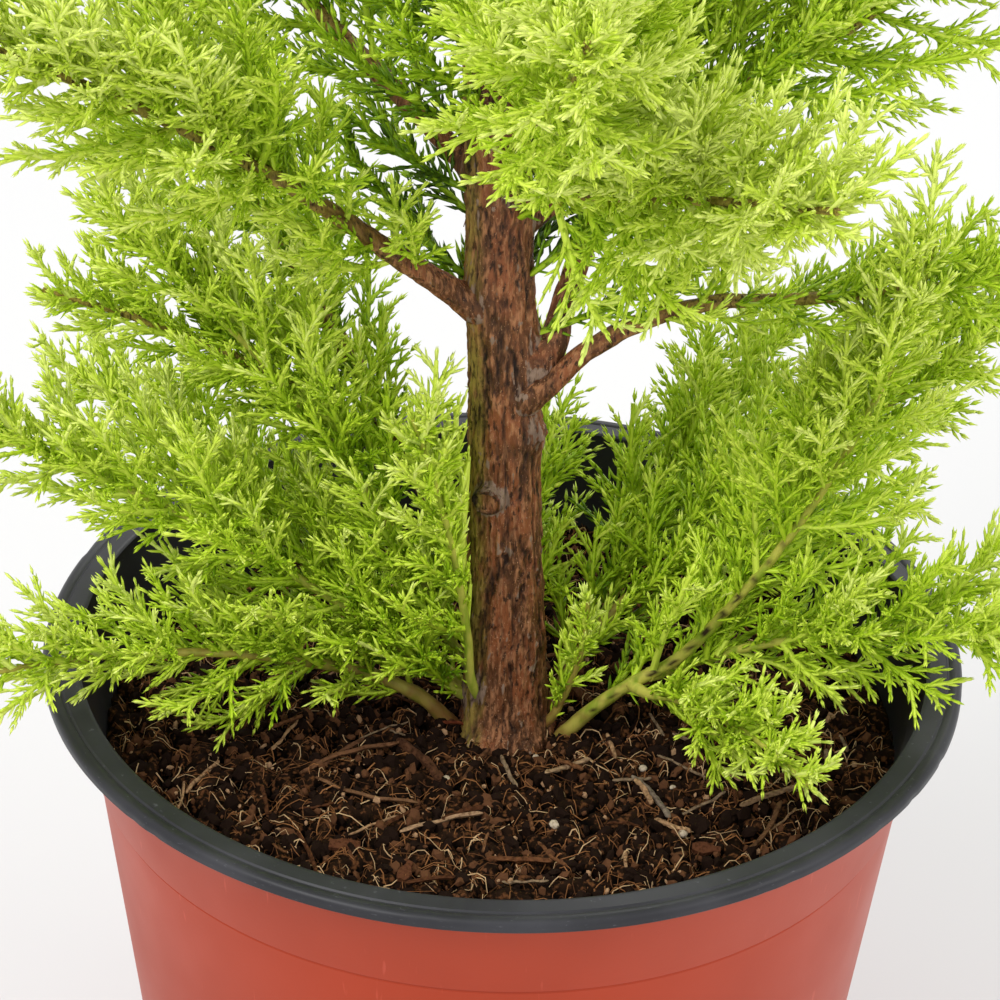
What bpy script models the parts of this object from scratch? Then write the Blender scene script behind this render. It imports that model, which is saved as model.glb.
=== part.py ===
"""A young lemon cypress growing in a round two-colour plastic pot, as an assembly of separate parts.

Metres, +Z up. The pot stands on its flat underside, whose centre is the origin. The viewer of the
picture stands on the -Y side and sees +X to the right. The trunk and the low stems are cut off flat
at the level of the potting mix. Every bough is one tapering limb, and every mass of foliage is one
part: a stem with toothed plumes for its side twigs, grown by one seeded rule in its own space.
"""
import math
import random

import bmesh
import bpy
import numpy as np
from mathutils import Matrix, Vector

MM = 0.001
OBJECT_NAME = "potted_lemon_cypress"
GAP = 0.3 * MM                       # clear gap between two pieces that touch in life

# The pot: a red-brown outer wall and a black inner layer whose edge is rolled out into the rim.
POT_HEIGHT = 146.0 * MM
POT_FOOT_RADIUS = 60.3 * MM
POT_SEAM_DROP = 21.5 * MM            # the fine line round the wall, below the top of the rim
POT_SEAM_RADIUS = 75.2 * MM
POT_SEAM_STEP = 0.4 * MM
POT_NECK_DROP = 7.0 * MM             # where the wall starts to flare out under the rim
POT_NECK_RADIUS = 77.0 * MM
POT_COLLAR_DROP = 2.6 * MM
POT_COLLAR_RADIUS = 79.0 * MM
POT_WALL = 0.9 * MM
POT_FLOOR = 1.4 * MM
POT_FOOT_BEVEL = 1.2 * MM
LINING_WALL = 0.8 * MM
RIM_RADIUS = 84.0 * MM
RIM_SHOULDER_RADIUS = 82.3 * MM
RIM_SKIRT_DROP = 2.3 * MM
RIM_SKIRT_WALL = 1.4 * MM
RIM_EDGE_DROP = 0.7 * MM
RIM_UNDERSIDE_DROP = 1.3 * MM
RIM_INNER_RADIUS = 77.3 * MM
DRAIN_COUNT = 8
DRAIN_RADIUS = 4.5 * MM
DRAIN_RING_RADIUS = 46.0 * MM
DRAIN_SIDES = 8
TURNED_STEPS = 36

# The potting mix, filled to a little below the rim.
SOIL_DROP = 19.5 * MM
SOIL_LEVEL = POT_HEIGHT - SOIL_DROP
SOIL_STEPS = 28
SOIL_RINGS = 5
SOIL_BUMP = 1.1 * MM
SOIL_FLAT_RADIUS = 24.0 * MM         # level ground round the trunk and the low stems
SOIL_SIDE_ROOM = 0.2 * MM            # flat facets of the fill stay clear of the lining
SOIL_SEED = 11

# The trunk: nearly upright, leaning a little to the viewer's left.
TRUNK_TOP = 470.0 * MM               # height of its tip above the mix
TRUNK_LEAN = -0.044                  # sideways drift to +X for each unit of height
TRUNK_FOOT_X = 1.0 * MM
TRUNK_SWAY = 1.1 * MM
TRUNK_RINGS = 16
TRUNK_CROWDING = 1.35                # rings stand closer near the foot
TRUNK_TAPER = 0.92
TRUNK_BELOW = 6.0 * MM              # run on below the mix before it is cut flat
TRUNK_RADIUS = 6.9 * MM
TRUNK_TIP_RADIUS = 0.9 * MM
TRUNK_FLARE = 1.5 * MM
TRUNK_FLARE_HEIGHT = 7.0 * MM
TOE_AZIMUTHS = (92.0, 138.0, 238.0, 302.0)
TOE_REACH = 10.5 * MM
TOE_HEIGHT = 8.0 * MM
TOE_RADIUS = 2.6 * MM
STUB_HEIGHT = 52.0 * MM              # a pruned side shoot, its round scar facing the viewer
STUB_AZIMUTH = 246.0
STUB_RADIUS = 2.9 * MM
STUB_REACH = 1.6 * MM
BURL_HEIGHT = 20.0 * MM
BURL_AZIMUTH = 330.0
BURL_RADIUS = 2.4 * MM

# Boughs and low stems: name, foot height on the trunk or None for a stem that rises from the mix,
# side of the trunk, azimuth, rise at the foot, rise at the tip, length, radius at the foot and at
# the tip. Sides, azimuths and rises are in degrees, all else in millimetres; azimuth 0 is +X.
BOUGHS = (
    ("bough_left_front", 91.0, 208.0, 214.0, 40.0, 42.0, 33.0, 2.3, 1.5),
    ("bough_right_rear", 80.5, 352.0, 42.0, 70.0, 60.0, 34.0, 2.4, 1.6),
    ("bough_right", 73.5, 330.0, 357.0, 46.0, 6.0, 48.0, 2.0, 1.1),
    ("bough_left_rear", 34.0, 150.0, 143.0, 50.0, 46.0, 52.0, 2.5, 1.6),
    ("stem_low_left", None, 176.0, 186.0, 50.0, 30.0, 14.0, 2.2, 1.7),
    ("stem_low_right", None, 346.0, 349.0, 52.0, 38.0, 26.0, 2.0, 1.5),
    ("stem_low_rear", None, 40.0, 40.0, 58.0, 40.0, 18.0, 2.1, 1.6),
)
STEM_FOOT_RADIUS = 11.2              # millimetres from the trunk's foot to that of a low stem

# Masses of foliage: name, host, millimetres along the host or None for its tip, side of the host,
# azimuth, rise at the foot, rise at the tip, length of the stem, reach of the side twigs.
MASSES = (
    ("foliage_left_front", "bough_left_front", None, 0.0, 222.0, 40.0, 30.0, 88.0, 34.0),
    ("foliage_right_rear", "bough_right_rear", None, 0.0, 36.0, 58.0, 46.0, 96.0, 34.0),
    ("foliage_right", "bough_right", None, 0.0, 2.0, 6.0, 16.0, 64.0, 20.0),
    ("foliage_left_rear", "bough_left_rear", None, 0.0, 146.0, 48.0, 58.0, 84.0, 30.0),
    ("foliage_left_rear_side", "bough_left_rear", 28.0, 190.0, 184.0, 34.0, 20.0, 66.0, 22.0),
    ("foliage_front_right", "trunk", 112.0, 300.0, 293.0, 25.0, 21.0, 108.0, 36.0),
    ("foliage_low_left_rim", "stem_low_left", None, 0.0, 206.0, 27.0, -4.0, 92.0, 26.0),
    ("foliage_low_left_front", "trunk", 12.0, 226.0, 232.0, 80.0, 70.0, 66.0, 25.0),
    ("foliage_low_left", "trunk", 8.0, 192.0, 190.0, 44.0, 26.0, 112.0, 34.0),
    ("foliage_low_left_high", "trunk", 14.0, 172.0, 174.0, 64.0, 42.0, 110.0, 34.0),
    ("foliage_low_left_back", "trunk", 6.0, 153.0, 155.0, 30.0, 24.0, 96.0, 28.0),
    ("foliage_low_right", "stem_low_right", None, 0.0, 352.0, 54.0, 78.0, 100.0, 32.0),
    ("foliage_low_right_front", "stem_low_right", 20.0, 300.0, 306.0, 22.0, 2.0, 52.0, 18.0),
    ("foliage_low_right_rim", "stem_low_right", 24.0, 30.0, 340.0, 30.0, 6.0, 92.0, 28.0),
    ("foliage_low_right_back", "stem_low_rear", None, 0.0, 14.0, 38.0, 30.0, 106.0, 34.0),
    ("foliage_low_rear_right", "stem_low_rear", 16.0, 70.0, 60.0, 34.0, 22.0, 76.0, 30.0),
    ("foliage_low_rear", "trunk", 10.0, 84.0, 84.0, 30.0, 30.0, 66.0, 24.0),
    ("foliage_sprig", "trunk", 4.0, 338.0, 345.0, 66.0, 88.0, 28.0, 8.0),
)

# Higher up the boughs stand round the trunk in a rising spiral.
SPIRAL_COUNT = 20
SPIRAL_FOOT = 106.0                  # millimetres above the mix
SPIRAL_TOP = 428.0
SPIRAL_CROWDING = 1.28               # above 1 the lower boughs stand closer to one another
SPIRAL_AZIMUTH = 5.0
GOLDEN_ANGLE = 137.508
SPIRAL_LENGTHS = (128.0, 48.0)
SPIRAL_RISES = (27.0, 66.0)
SPIRAL_REACH = (38.0, 16.0)
SPIRAL_BOUGHS = 7                    # so many of the lowest start on a bare bough
SPIRAL_BOUGH_LENGTH = 26.0
LEADER_LENGTH = 30.0
LEADER_REACH = 14.0

# The rule by which a mass grows. Lengths are in millimetres, angles in degrees; a share runs from 0
# at the foot of a stem or twig to 1 at its tip.
STEM_PARTS = 5
STEM_TURN = 14.0                     # the most a stem swings aside on its way
STEM_FOOT_RADII = (1.2, 1.7)         # for a short stem and for a long one
STEM_LONG = 110.0
STEM_TIP_RADIUS = 0.85
SECTION_FLAT = 0.7                   # a three-sided stem is this much slimmer than its corners
TWIG_SPACING = 5.2
TWIG_SHARES = (0.07, 0.98)
TWIG_JITTER = 0.6
TWIG_ROLL_JITTER = 20.0
TWIG_OPEN = (60.0, 36.0)             # angle between stem and twig, at the foot and at the tip
TWIG_OPEN_JITTER = 6.0
TWIG_YOUNG = 0.55                    # length of the lowest twigs as a share of the reach
TWIG_GROWTH = 2.4
TWIG_TAPER = 0.74
TWIG_TAPER_POWER = 1.7
TWIG_LENGTHS = (0.82, 1.08)
TWIG_PARTS = 6
TWIG_CURL = 0.42                     # how far a twig turns towards its stem's direction
TWIG_LIFT = 0.16                     # how far it turns upwards
TWIG_ROOM = 0.5
TWIG_LEAST_PARTS = 2
KEEP_FROM_NEIGHBOUR = 1.6
KEEP_FROM_LIMB = 1.0
KEEP_FROM_GROUND = 2.0
KEEP_FROM_RIM = 1.5
KEEP_FROM_WALL = 6.0
FAR_AWAY = 9.0                       # metres, farther than anything here

# What the solids take of that rule: a twig with all its finer shoots is one flat plume with teeth.
SOLID_TWIG_STEP = 3
SOLID_TWIG_SHARE = 0.5               # of its stem's radius, what a twig has at its root
SOLID_TWIG_TIP = 0.35
SOLID_TWIG_END = 0.4                # share of the twig up to which it is a limb of its own
SOLID_TRIES = 3
PLUME_FOOT = 0.18                    # share of the twig where its plume starts
PLUME_BEYOND = 1.12                  # and where it ends
PLUME_MIDDLE = 0.3                   # shares of the plume's own length from here on
PLUME_THICK = 0.1
PLUME_TEETH = ((0.27, 0.33), (0.35, 0.09), (0.6, 0.28), (0.67, 0.07))
PLUME_TOOTHED_FROM = 15.0            # millimetres; a shorter twig has a plain blade, with one corner a side
PLUME_SMALL_TEETH = ((0.4, 0.24),)
PLUME_SIZES = (1.0, 0.8, 0.6, 0.4, 0.25)
PLUME_ROLL_JITTER = 30.0
END_PLUME_LENGTH = 18.0
END_PLUME_SINK = 0.35                # share of the end plume that lies along the stem
MERGE = 2e-7

COLOURS = {
    "terracotta_plastic": ((0.42, 0.075, 0.035), 0.42),
    "black_plastic": ((0.03, 0.03, 0.032), 0.38),
    "potting_mix": ((0.035, 0.02, 0.012), 0.95),
    "bark": ((0.13, 0.062, 0.032), 0.85),
    "green_bark": ((0.16, 0.12, 0.03), 0.75),
    "foliage_lime": ((0.36, 0.50, 0.06), 0.6),
}


def clear_scene():
    """Removes whatever the scene holds."""
    for found in list(bpy.data.objects):
        bpy.data.objects.remove(found, do_unlink=True)


def new_collection(name):
    """Makes a collection in the scene."""
    made = bpy.data.collections.new(name)
    bpy.context.scene.collection.children.link(made)
    return made


def material(part_name, colour_name):
    """Gives a part its own plain material of the named colour."""
    colour, roughness = COLOURS[colour_name]
    made = bpy.data.materials.new(f"{colour_name}.{part_name}")
    made.use_nodes = True
    shader = made.node_tree.nodes["Principled BSDF"]
    shader.inputs["Base Color"].default_value = (*colour, 1.0)
    shader.inputs["Roughness"].default_value = roughness
    made.diffuse_color = (*colour, 1.0)
    return made


def object_from(name, mesh, home):
    """Links a mesh into a collection as an object."""
    made = bpy.data.objects.new(name, mesh)
    home.objects.link(made)
    return made


def applied(owner):
    """Turns an object with modifiers or a curve into a plain mesh object of the same name."""
    bpy.context.view_layer.update()
    depsgraph = bpy.context.evaluated_depsgraph_get()
    mesh = bpy.data.meshes.new_from_object(owner.evaluated_get(depsgraph), depsgraph=depsgraph)
    mesh.transform(owner.matrix_world)
    name = owner.name
    homes = list(owner.users_collection)
    bpy.data.objects.remove(owner, do_unlink=True)
    shape = bmesh.new()
    shape.from_mesh(mesh)
    bmesh.ops.remove_doubles(shape, verts=shape.verts, dist=1e-7)
    bmesh.ops.recalc_face_normals(shape, faces=shape.faces)
    shape.to_mesh(mesh)
    shape.free()
    made = bpy.data.objects.new(name, mesh)
    for home in homes:
        home.objects.link(made)
    return made


def turned(name, outline, home, steps=TURNED_STEPS):
    """Turns an outline of (radius, height) pairs about the upright axis into a closed body."""
    shape = bmesh.new()
    corners = [shape.verts.new((radius, 0.0, height)) for radius, height in outline]
    for first, second in zip(corners, corners[1:]):
        shape.edges.new((first, second))
    if outline[0][0] > 0.0:
        shape.edges.new((corners[-1], corners[0]))
    mesh = bpy.data.meshes.new(name)
    shape.to_mesh(mesh)
    shape.free()
    made = object_from(name, mesh, home)
    spin = made.modifiers.new("turn", "SCREW")
    spin.angle = math.tau
    spin.steps = steps
    spin.render_steps = steps
    spin.use_merge_vertices = True
    spin.merge_threshold = 0.00001
    spin.use_normal_calculate = True
    return applied(made)


def finish(owner, colour_name, smooth_angle=35.0):
    """Gives a part its material and shades its round faces smooth."""
    owner.data.materials.clear()
    owner.data.materials.append(material(owner.name, colour_name))
    owner.data.shade_smooth()
    shape = bmesh.new()
    shape.from_mesh(owner.data)
    for edge in shape.edges:
        sharp = edge.calc_face_angle(0.0) > math.radians(smooth_angle)
        edge.smooth = not sharp
    shape.to_mesh(owner.data)
    shape.free()


def boolean(owner, operation, collection=None, other=None, solver="EXACT"):
    """Applies a Boolean with a collection or a single object."""
    change = owner.modifiers.new(operation.lower(), "BOOLEAN")
    change.operation = operation
    change.solver = solver
    if collection is not None:
        change.operand_type = "COLLECTION"
        change.collection = collection
    else:
        change.object = other
    return applied(owner)


def heading(azimuth, rise):
    """Unit direction for an azimuth and a rise in degrees."""
    turn = math.radians(azimuth)
    lift = math.radians(rise)
    return Vector((math.cos(turn) * math.cos(lift), math.sin(turn) * math.cos(lift), math.sin(lift)))


def mix(first, second, share):
    """Value the given share of the way from the first to the second."""
    return first + (second - first) * share


def trunk_point(height):
    """Centre of the trunk at a height above the mix."""
    sway = TRUNK_SWAY * math.sin(height / TRUNK_TOP * math.tau * 1.5)
    drift = TRUNK_FOOT_X + TRUNK_LEAN * height
    return Vector((drift + 0.6 * sway, sway, SOIL_LEVEL + height))


def trunk_radius(height):
    """Radius of the trunk at a height above the mix, with the flare at its foot."""
    share = min(1.0, height / TRUNK_TOP)
    shaft = mix(TRUNK_RADIUS, TRUNK_TIP_RADIUS, share ** TRUNK_TAPER)
    return shaft + TRUNK_FLARE * math.exp(-height / TRUNK_FLARE_HEIGHT)


def bent_path(start, azimuth, rise_foot, rise_tip, length, parts, turn=0.0):
    """Points of a limb that leaves start and slowly changes its rise and its azimuth."""
    points = [Vector(start)]
    for index in range(parts):
        share = index / (parts - 1)
        step = heading(azimuth + turn * share, mix(rise_foot, rise_tip, share))
        points.append(points[-1] + step * (length / parts))
    return points


def place_on(path, along):
    """Point and direction at a distance along a path."""
    left = along
    for first, second in zip(path, path[1:]):
        step = (second - first).length
        if left <= step:
            return first.lerp(second, left / step), (second - first).normalized()
        left -= step
    return path[-1].copy(), (path[-1] - path[-2]).normalized()


def off_the_side(centre, axis, radius, side, aim, own_radius):
    """Start of a limb that leaves one side of another along aim, a clear gap off its surface."""
    out = heading(side, 0.0)
    across = (out - axis * out.dot(axis)).normalized()
    extent = own_radius * math.sqrt(max(0.0, 1.0 - aim.dot(across) ** 2))
    return centre + across * (radius + GAP + extent)


class Limb:
    """A bough or a low stem: its points and its radii."""

    def __init__(self, name, path, radii):
        self.name = name
        self.path = path
        self.radii = radii

    def radius_at(self, along):
        """Radius at a distance along the limb."""
        length = sum((b - a).length for a, b in zip(self.path, self.path[1:]))
        return mix(self.radii[0], self.radii[-1], min(1.0, along / length))


class Mass:
    """The stem of a mass of foliage and the numbers its growth needs."""

    def __init__(self, name, seed, path, foot_radius, reach):
        self.name = name
        self.seed = seed
        self.path = path
        self.foot_radius = foot_radius
        self.reach = reach
        self.length = sum((b - a).length for a, b in zip(path, path[1:]))


def plan_limbs():
    """Works out every bough and low stem."""
    limbs = {}
    up = Vector((0.0, 0.0, 1.0))
    for name, foot, side, azimuth, rise_foot, rise_tip, length, foot_radius, tip_radius in BOUGHS:
        aim = heading(azimuth, rise_foot)
        if foot is None:
            flat = heading(side, 0.0)
            start = trunk_point(0.0) + flat * (STEM_FOOT_RADIUS * MM) + Vector((0.0, 0.0, GAP))
        else:
            centre = trunk_point(foot * MM)
            start = off_the_side(centre, up, trunk_radius(foot * MM), side, aim, foot_radius * MM)
        path = bent_path(start, azimuth, rise_foot, rise_tip, length * MM, 4)
        limbs[name] = Limb(name, path, (foot_radius * MM, tip_radius * MM))
    return limbs


def spiral_rows():
    """Rows for the upper boughs and masses, in the form the tables above have."""
    rows = []
    for index in range(SPIRAL_COUNT):
        share = index / (SPIRAL_COUNT - 1)
        draw = random.Random(500 + index)
        foot = mix(SPIRAL_FOOT, SPIRAL_TOP, share ** SPIRAL_CROWDING)
        azimuth = SPIRAL_AZIMUTH + index * GOLDEN_ANGLE + draw.uniform(-9.0, 9.0)
        rise = mix(SPIRAL_RISES[0], SPIRAL_RISES[1], share) + draw.uniform(-4.0, 4.0)
        length = mix(SPIRAL_LENGTHS[0], SPIRAL_LENGTHS[1], share) * draw.uniform(0.93, 1.07)
        reach = mix(SPIRAL_REACH[0], SPIRAL_REACH[1], share)
        rows.append((index, foot, azimuth, rise, length, reach))
    return rows


def plan_masses(limbs):
    """Works out the stem of every mass, and adds the upper boughs to the limbs."""
    up = Vector((0.0, 0.0, 1.0))
    masses = []

    def add(name, start, azimuth, rise_foot, rise_tip, length, reach, foot_radius):
        """Plans one stem, which leaves along its azimuth and then swings aside a little."""
        seed = len(masses) + 1
        draw = random.Random(seed)
        swing = draw.uniform(-STEM_TURN, STEM_TURN)
        path = bent_path(start, azimuth, rise_foot, rise_tip, length, STEM_PARTS, swing)
        masses.append(Mass(name, seed, path, foot_radius, reach))

    for name, host, along, side, azimuth, rise_foot, rise_tip, length, reach in MASSES:
        foot_radius = mix(STEM_FOOT_RADII[0], STEM_FOOT_RADII[1],
                          min(1.0, length / STEM_LONG)) * MM
        aim = heading(azimuth, rise_foot)
        if host == "trunk":
            centre = trunk_point(along * MM)
            start = off_the_side(centre, up, trunk_radius(along * MM), side, aim,
                                 foot_radius * SECTION_FLAT)
        elif along is None:
            tip, axis = place_on(limbs[host].path, FAR_AWAY)
            foot_radius = min(foot_radius, limbs[host].radii[-1])
            start = tip + axis * (GAP + foot_radius * aim.cross(axis).length)
        else:
            centre, axis = place_on(limbs[host].path, along * MM)
            start = off_the_side(centre, axis, limbs[host].radius_at(along * MM), side, aim,
                                 foot_radius * SECTION_FLAT)
        add(name, start, azimuth, rise_foot, rise_tip, length * MM, reach * MM, foot_radius)

    for index, foot, azimuth, rise, length, reach in spiral_rows():
        number = f"{index + 1:02d}"
        foot_radius = mix(1.7, 1.2, index / SPIRAL_COUNT) * MM
        centre = trunk_point(foot * MM)
        aim = heading(azimuth, rise)
        if index < SPIRAL_BOUGHS:
            radius = mix(2.1, 1.6, index / SPIRAL_BOUGHS) * MM
            start = off_the_side(centre, up, trunk_radius(foot * MM), azimuth, aim, radius)
            path = bent_path(start, azimuth, rise, rise, SPIRAL_BOUGH_LENGTH * MM, 3)
            limb = Limb(f"bough_upper_{number}", path, (radius, 1.5 * MM))
            limbs[limb.name] = limb
            start = path[-1] + aim * GAP
            length = length - SPIRAL_BOUGH_LENGTH
        else:
            start = off_the_side(centre, up, trunk_radius(foot * MM), azimuth, aim,
                                 foot_radius * SECTION_FLAT)
        add(f"foliage_upper_{number}", start, azimuth, rise, rise + 6.0, length * MM, reach * MM,
            foot_radius)

    top = trunk_point(TRUNK_TOP) + up * GAP
    add("foliage_leader", top, 190.0, 84.0, 88.0, LEADER_LENGTH * MM, LEADER_REACH * MM, 1.2 * MM)
    return masses


def segments_of(paths):
    """Starts and ends of all the straight parts of some paths, with the path each belongs to."""
    starts, ends, owners = [], [], []
    for owner, path in enumerate(paths):
        for first, second in zip(path, path[1:]):
            starts.append(first)
            ends.append(second)
            owners.append(owner)
    return np.array(starts), np.array(ends), np.array(owners)


def distances(points, starts, ends):
    """Distance from every point to every straight part."""
    along = ends - starts
    reach = points[:, None, :] - starts[None, :, :]
    share = np.clip((reach * along).sum(-1) / (along * along).sum(-1), 0.0, 1.0)
    return np.linalg.norm(reach - share[..., None] * along, axis=-1)


class Space:
    """Tells whether a point lies in the space of one mass and clear of everything else."""

    def __init__(self, limbs, masses):
        self.count = len(masses)
        self.stems = segments_of([mass.path for mass in masses])
        heights = [TRUNK_TOP * index / 30.0 for index in range(31)]
        paths = [limb.path for limb in limbs.values()]
        paths.append([trunk_point(height) for height in heights])
        self.limbs = segments_of(paths)
        radii = []
        for limb in limbs.values():
            parts = len(limb.path) - 1
            radii.extend(mix(limb.radii[0], limb.radii[1], index / parts) for index in range(parts))
        radii.extend(trunk_radius(height) for height in heights[:-1])
        self.limb_radii = np.array(radii)

    def holds(self, owner, points, margin):
        """True for each point that the mass may use, margin being the room the point needs."""
        starts, ends, owners = self.stems
        nearest = np.full((len(points), self.count), FAR_AWAY)
        every = distances(points, starts, ends)
        for index in range(self.count):
            nearest[:, index] = every[:, owners == index].min(axis=1)
        own = nearest[:, owner].copy()
        nearest[:, owner] = FAR_AWAY
        fine = nearest.min(axis=1) - own > KEEP_FROM_NEIGHBOUR * MM + margin
        to_limbs = distances(points, self.limbs[0], self.limbs[1]) - self.limb_radii
        fine &= to_limbs.min(axis=1) > KEEP_FROM_LIMB * MM + margin
        radius = np.hypot(points[:, 0], points[:, 1])
        height = points[:, 2]
        over_rim = height > POT_HEIGHT + KEEP_FROM_RIM * MM + margin
        in_pot = (radius < POT_SEAM_RADIUS - KEEP_FROM_WALL * MM) & (
            height > SOIL_LEVEL + KEEP_FROM_GROUND * MM + margin)
        return fine & (over_rim | in_pot)


def across_at(axis, roll):
    """Unit direction across axis, turned about it by roll in degrees."""
    flat = Vector((0.0, 0.0, 1.0)).cross(axis)
    if flat.length < 0.05:
        flat = Vector((0.0, 1.0, 0.0)).cross(axis)
    flat.normalize()
    turn = math.radians(roll)
    return flat * math.cos(turn) + axis.cross(flat) * math.sin(turn)


def leaving(axis, roll, opened):
    """Unit direction that opens from axis by an angle, on the side that roll names; in degrees."""
    turn = math.radians(opened)
    return axis * math.cos(turn) + across_at(axis, roll) * math.sin(turn)


def cut_to_space(space, owner, paths, margin, least):
    """Shortens each path to the part that lies in the owner's space; None where too little is left."""
    if not paths:
        return []
    samples = np.array([point for path in paths for point in path[1:]])
    fine = space.holds(owner, samples, margin)
    kept = []
    first = 0
    for path in paths:
        parts = len(path) - 1
        good = 0
        while good < parts and fine[first + good]:
            good += 1
        first += parts
        kept.append(path[:good + 1] if good >= least else None)
    return kept


def twigs_of(space, owner, mass):
    """The side twigs of a mass: number, share along the stem and points of each."""
    count = int(mass.length / (TWIG_SPACING * MM)) + 2
    plans = []
    paths = []
    for index in range(count):
        draw = random.Random(mass.seed * 1000 + index)
        share = mix(TWIG_SHARES[0], TWIG_SHARES[1], (index + draw.random() * TWIG_JITTER) / count)
        root, axis = place_on(mass.path, share * mass.length)
        roll = GOLDEN_ANGLE * index + draw.uniform(-TWIG_ROLL_JITTER, TWIG_ROLL_JITTER)
        opened = mix(TWIG_OPEN[0], TWIG_OPEN[1], share)
        aim = leaving(axis, roll, opened + draw.uniform(-TWIG_OPEN_JITTER, TWIG_OPEN_JITTER))
        swell = min(1.0, TWIG_YOUNG + TWIG_GROWTH * share)
        swell *= 1.0 - TWIG_TAPER * share ** TWIG_TAPER_POWER
        length = mass.reach * swell * draw.uniform(*TWIG_LENGTHS)
        points = [root]
        for part in range(TWIG_PARTS):
            way = (part + 0.5) / TWIG_PARTS
            step = aim * (1.0 - TWIG_CURL * way) + axis * (TWIG_CURL * way)
            step.z += TWIG_LIFT * way
            step.normalize()
            points.append(points[-1] + step * (length / TWIG_PARTS))
        plans.append((index, share))
        paths.append(points)
    kept = cut_to_space(space, owner, paths, TWIG_ROOM * MM, TWIG_LEAST_PARTS)
    return [(index, share, path) for (index, share), path in zip(plans, kept) if path]


def curve_tube(name, paths, radii, home, section=None, sides_half=2):
    """Tubes along paths, round or with the given section, tapering by their radii, capped."""
    curve = bpy.data.curves.new(name, "CURVE")
    curve.dimensions = "3D"
    curve.use_fill_caps = True
    if section is None:
        curve.bevel_mode = "ROUND"
        curve.bevel_depth = 1.0
        curve.bevel_resolution = sides_half
    else:
        curve.bevel_mode = "OBJECT"
        curve.bevel_object = section
    for path, widths in zip(paths, radii):
        spline = curve.splines.new("POLY")
        spline.points.add(len(path) - 1)
        for point, place, width in zip(spline.points, path, widths):
            point.co = (*place, 1.0)
            point.radius = width
    return applied(object_from(name, curve, home))


def three_sided_section(home):
    """A small three-cornered outline for the twigs."""
    curve = bpy.data.curves.new("three_sided", "CURVE")
    curve.dimensions = "2D"
    spline = curve.splines.new("POLY")
    spline.points.add(2)
    for index, point in enumerate(spline.points):
        turn = math.tau * index / 3.0
        point.co = (math.cos(turn), math.sin(turn), 0.0, 1.0)
        point.radius = 1.0
    spline.use_cyclic_u = True
    return object_from("three_sided", curve, home)


def teeth_for(root, tip):
    """Corners of one side of a plume, as shares of its length along it and out from it."""
    small = (tip - root).length < PLUME_TOOTHED_FROM * MM
    return PLUME_SMALL_TEETH if small else PLUME_TEETH


def plume(name, root, tip, across, width, home):
    """A flat blade with teeth that point forwards on both sides, for a twig and its shoots."""
    aim = tip - root
    length = aim.length
    aim.normalize()
    across = (across - aim * across.dot(aim)).normalized()
    normal = aim.cross(across) * (length * PLUME_THICK * 0.5)
    left = [root + aim * (length * along) + across * (length * out * width)
            for along, out in teeth_for(root, tip)]
    right = [root + aim * (length * along) - across * (length * out * width)
             for along, out in teeth_for(root, tip)]
    shape = bmesh.new()
    edge = [shape.verts.new(place) for place in [root, *left, tip, *reversed(right)]]
    middle = root + aim * (length * PLUME_MIDDLE)
    above = shape.verts.new(middle + normal)
    below = shape.verts.new(middle - normal)
    for first, second in zip(edge, edge[1:] + edge[:1]):
        shape.faces.new((above, first, second))
        shape.faces.new((below, second, first))
    bmesh.ops.recalc_face_normals(shape, faces=shape.faces)
    mesh = bpy.data.meshes.new(name)
    shape.to_mesh(mesh)
    shape.free()
    return object_from(name, mesh, home)


def plume_width(space, owner, root, tip, across):
    """Width of the widest plume that its mass has room for, as a share of the full one, or 0."""
    aim = tip - root
    across = (across - aim.normalized() * across.dot(aim.normalized())).normalized()
    for size in PLUME_SIZES:
        teeth = []
        for along, out in teeth_for(root, tip)[::2]:
            half = across * (aim.length * out * size)
            teeth.extend((root + aim * along + half, root + aim * along - half))
        if space.holds(owner, np.array(teeth), 0.0).all():
            return size
    return 0.0


def drop_scraps(owner):
    """Keeps the largest joined piece of a mesh and drops loose scraps and inner skins."""
    shape = bmesh.new()
    shape.from_mesh(owner.data)
    bmesh.ops.remove_doubles(shape, verts=shape.verts, dist=MERGE)
    bmesh.ops.dissolve_degenerate(shape, dist=MERGE, edges=shape.edges)
    bmesh.ops.triangulate(shape, faces=shape.faces)
    left = set(shape.faces)
    pieces = []
    while left:
        todo = [left.pop()]
        piece = list(todo)
        while todo:
            for edge in todo.pop().edges:
                for face in edge.link_faces:
                    if face in left:
                        left.discard(face)
                        piece.append(face)
                        todo.append(face)
        pieces.append(piece)
    pieces.sort(key=len)
    for piece in pieces[:-1]:
        bmesh.ops.delete(shape, geom=piece, context="FACES")
    bmesh.ops.recalc_face_normals(shape, faces=shape.faces)
    whole = all(edge.is_manifold for edge in shape.edges)
    shape.to_mesh(owner.data)
    shape.free()
    return whole


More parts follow.
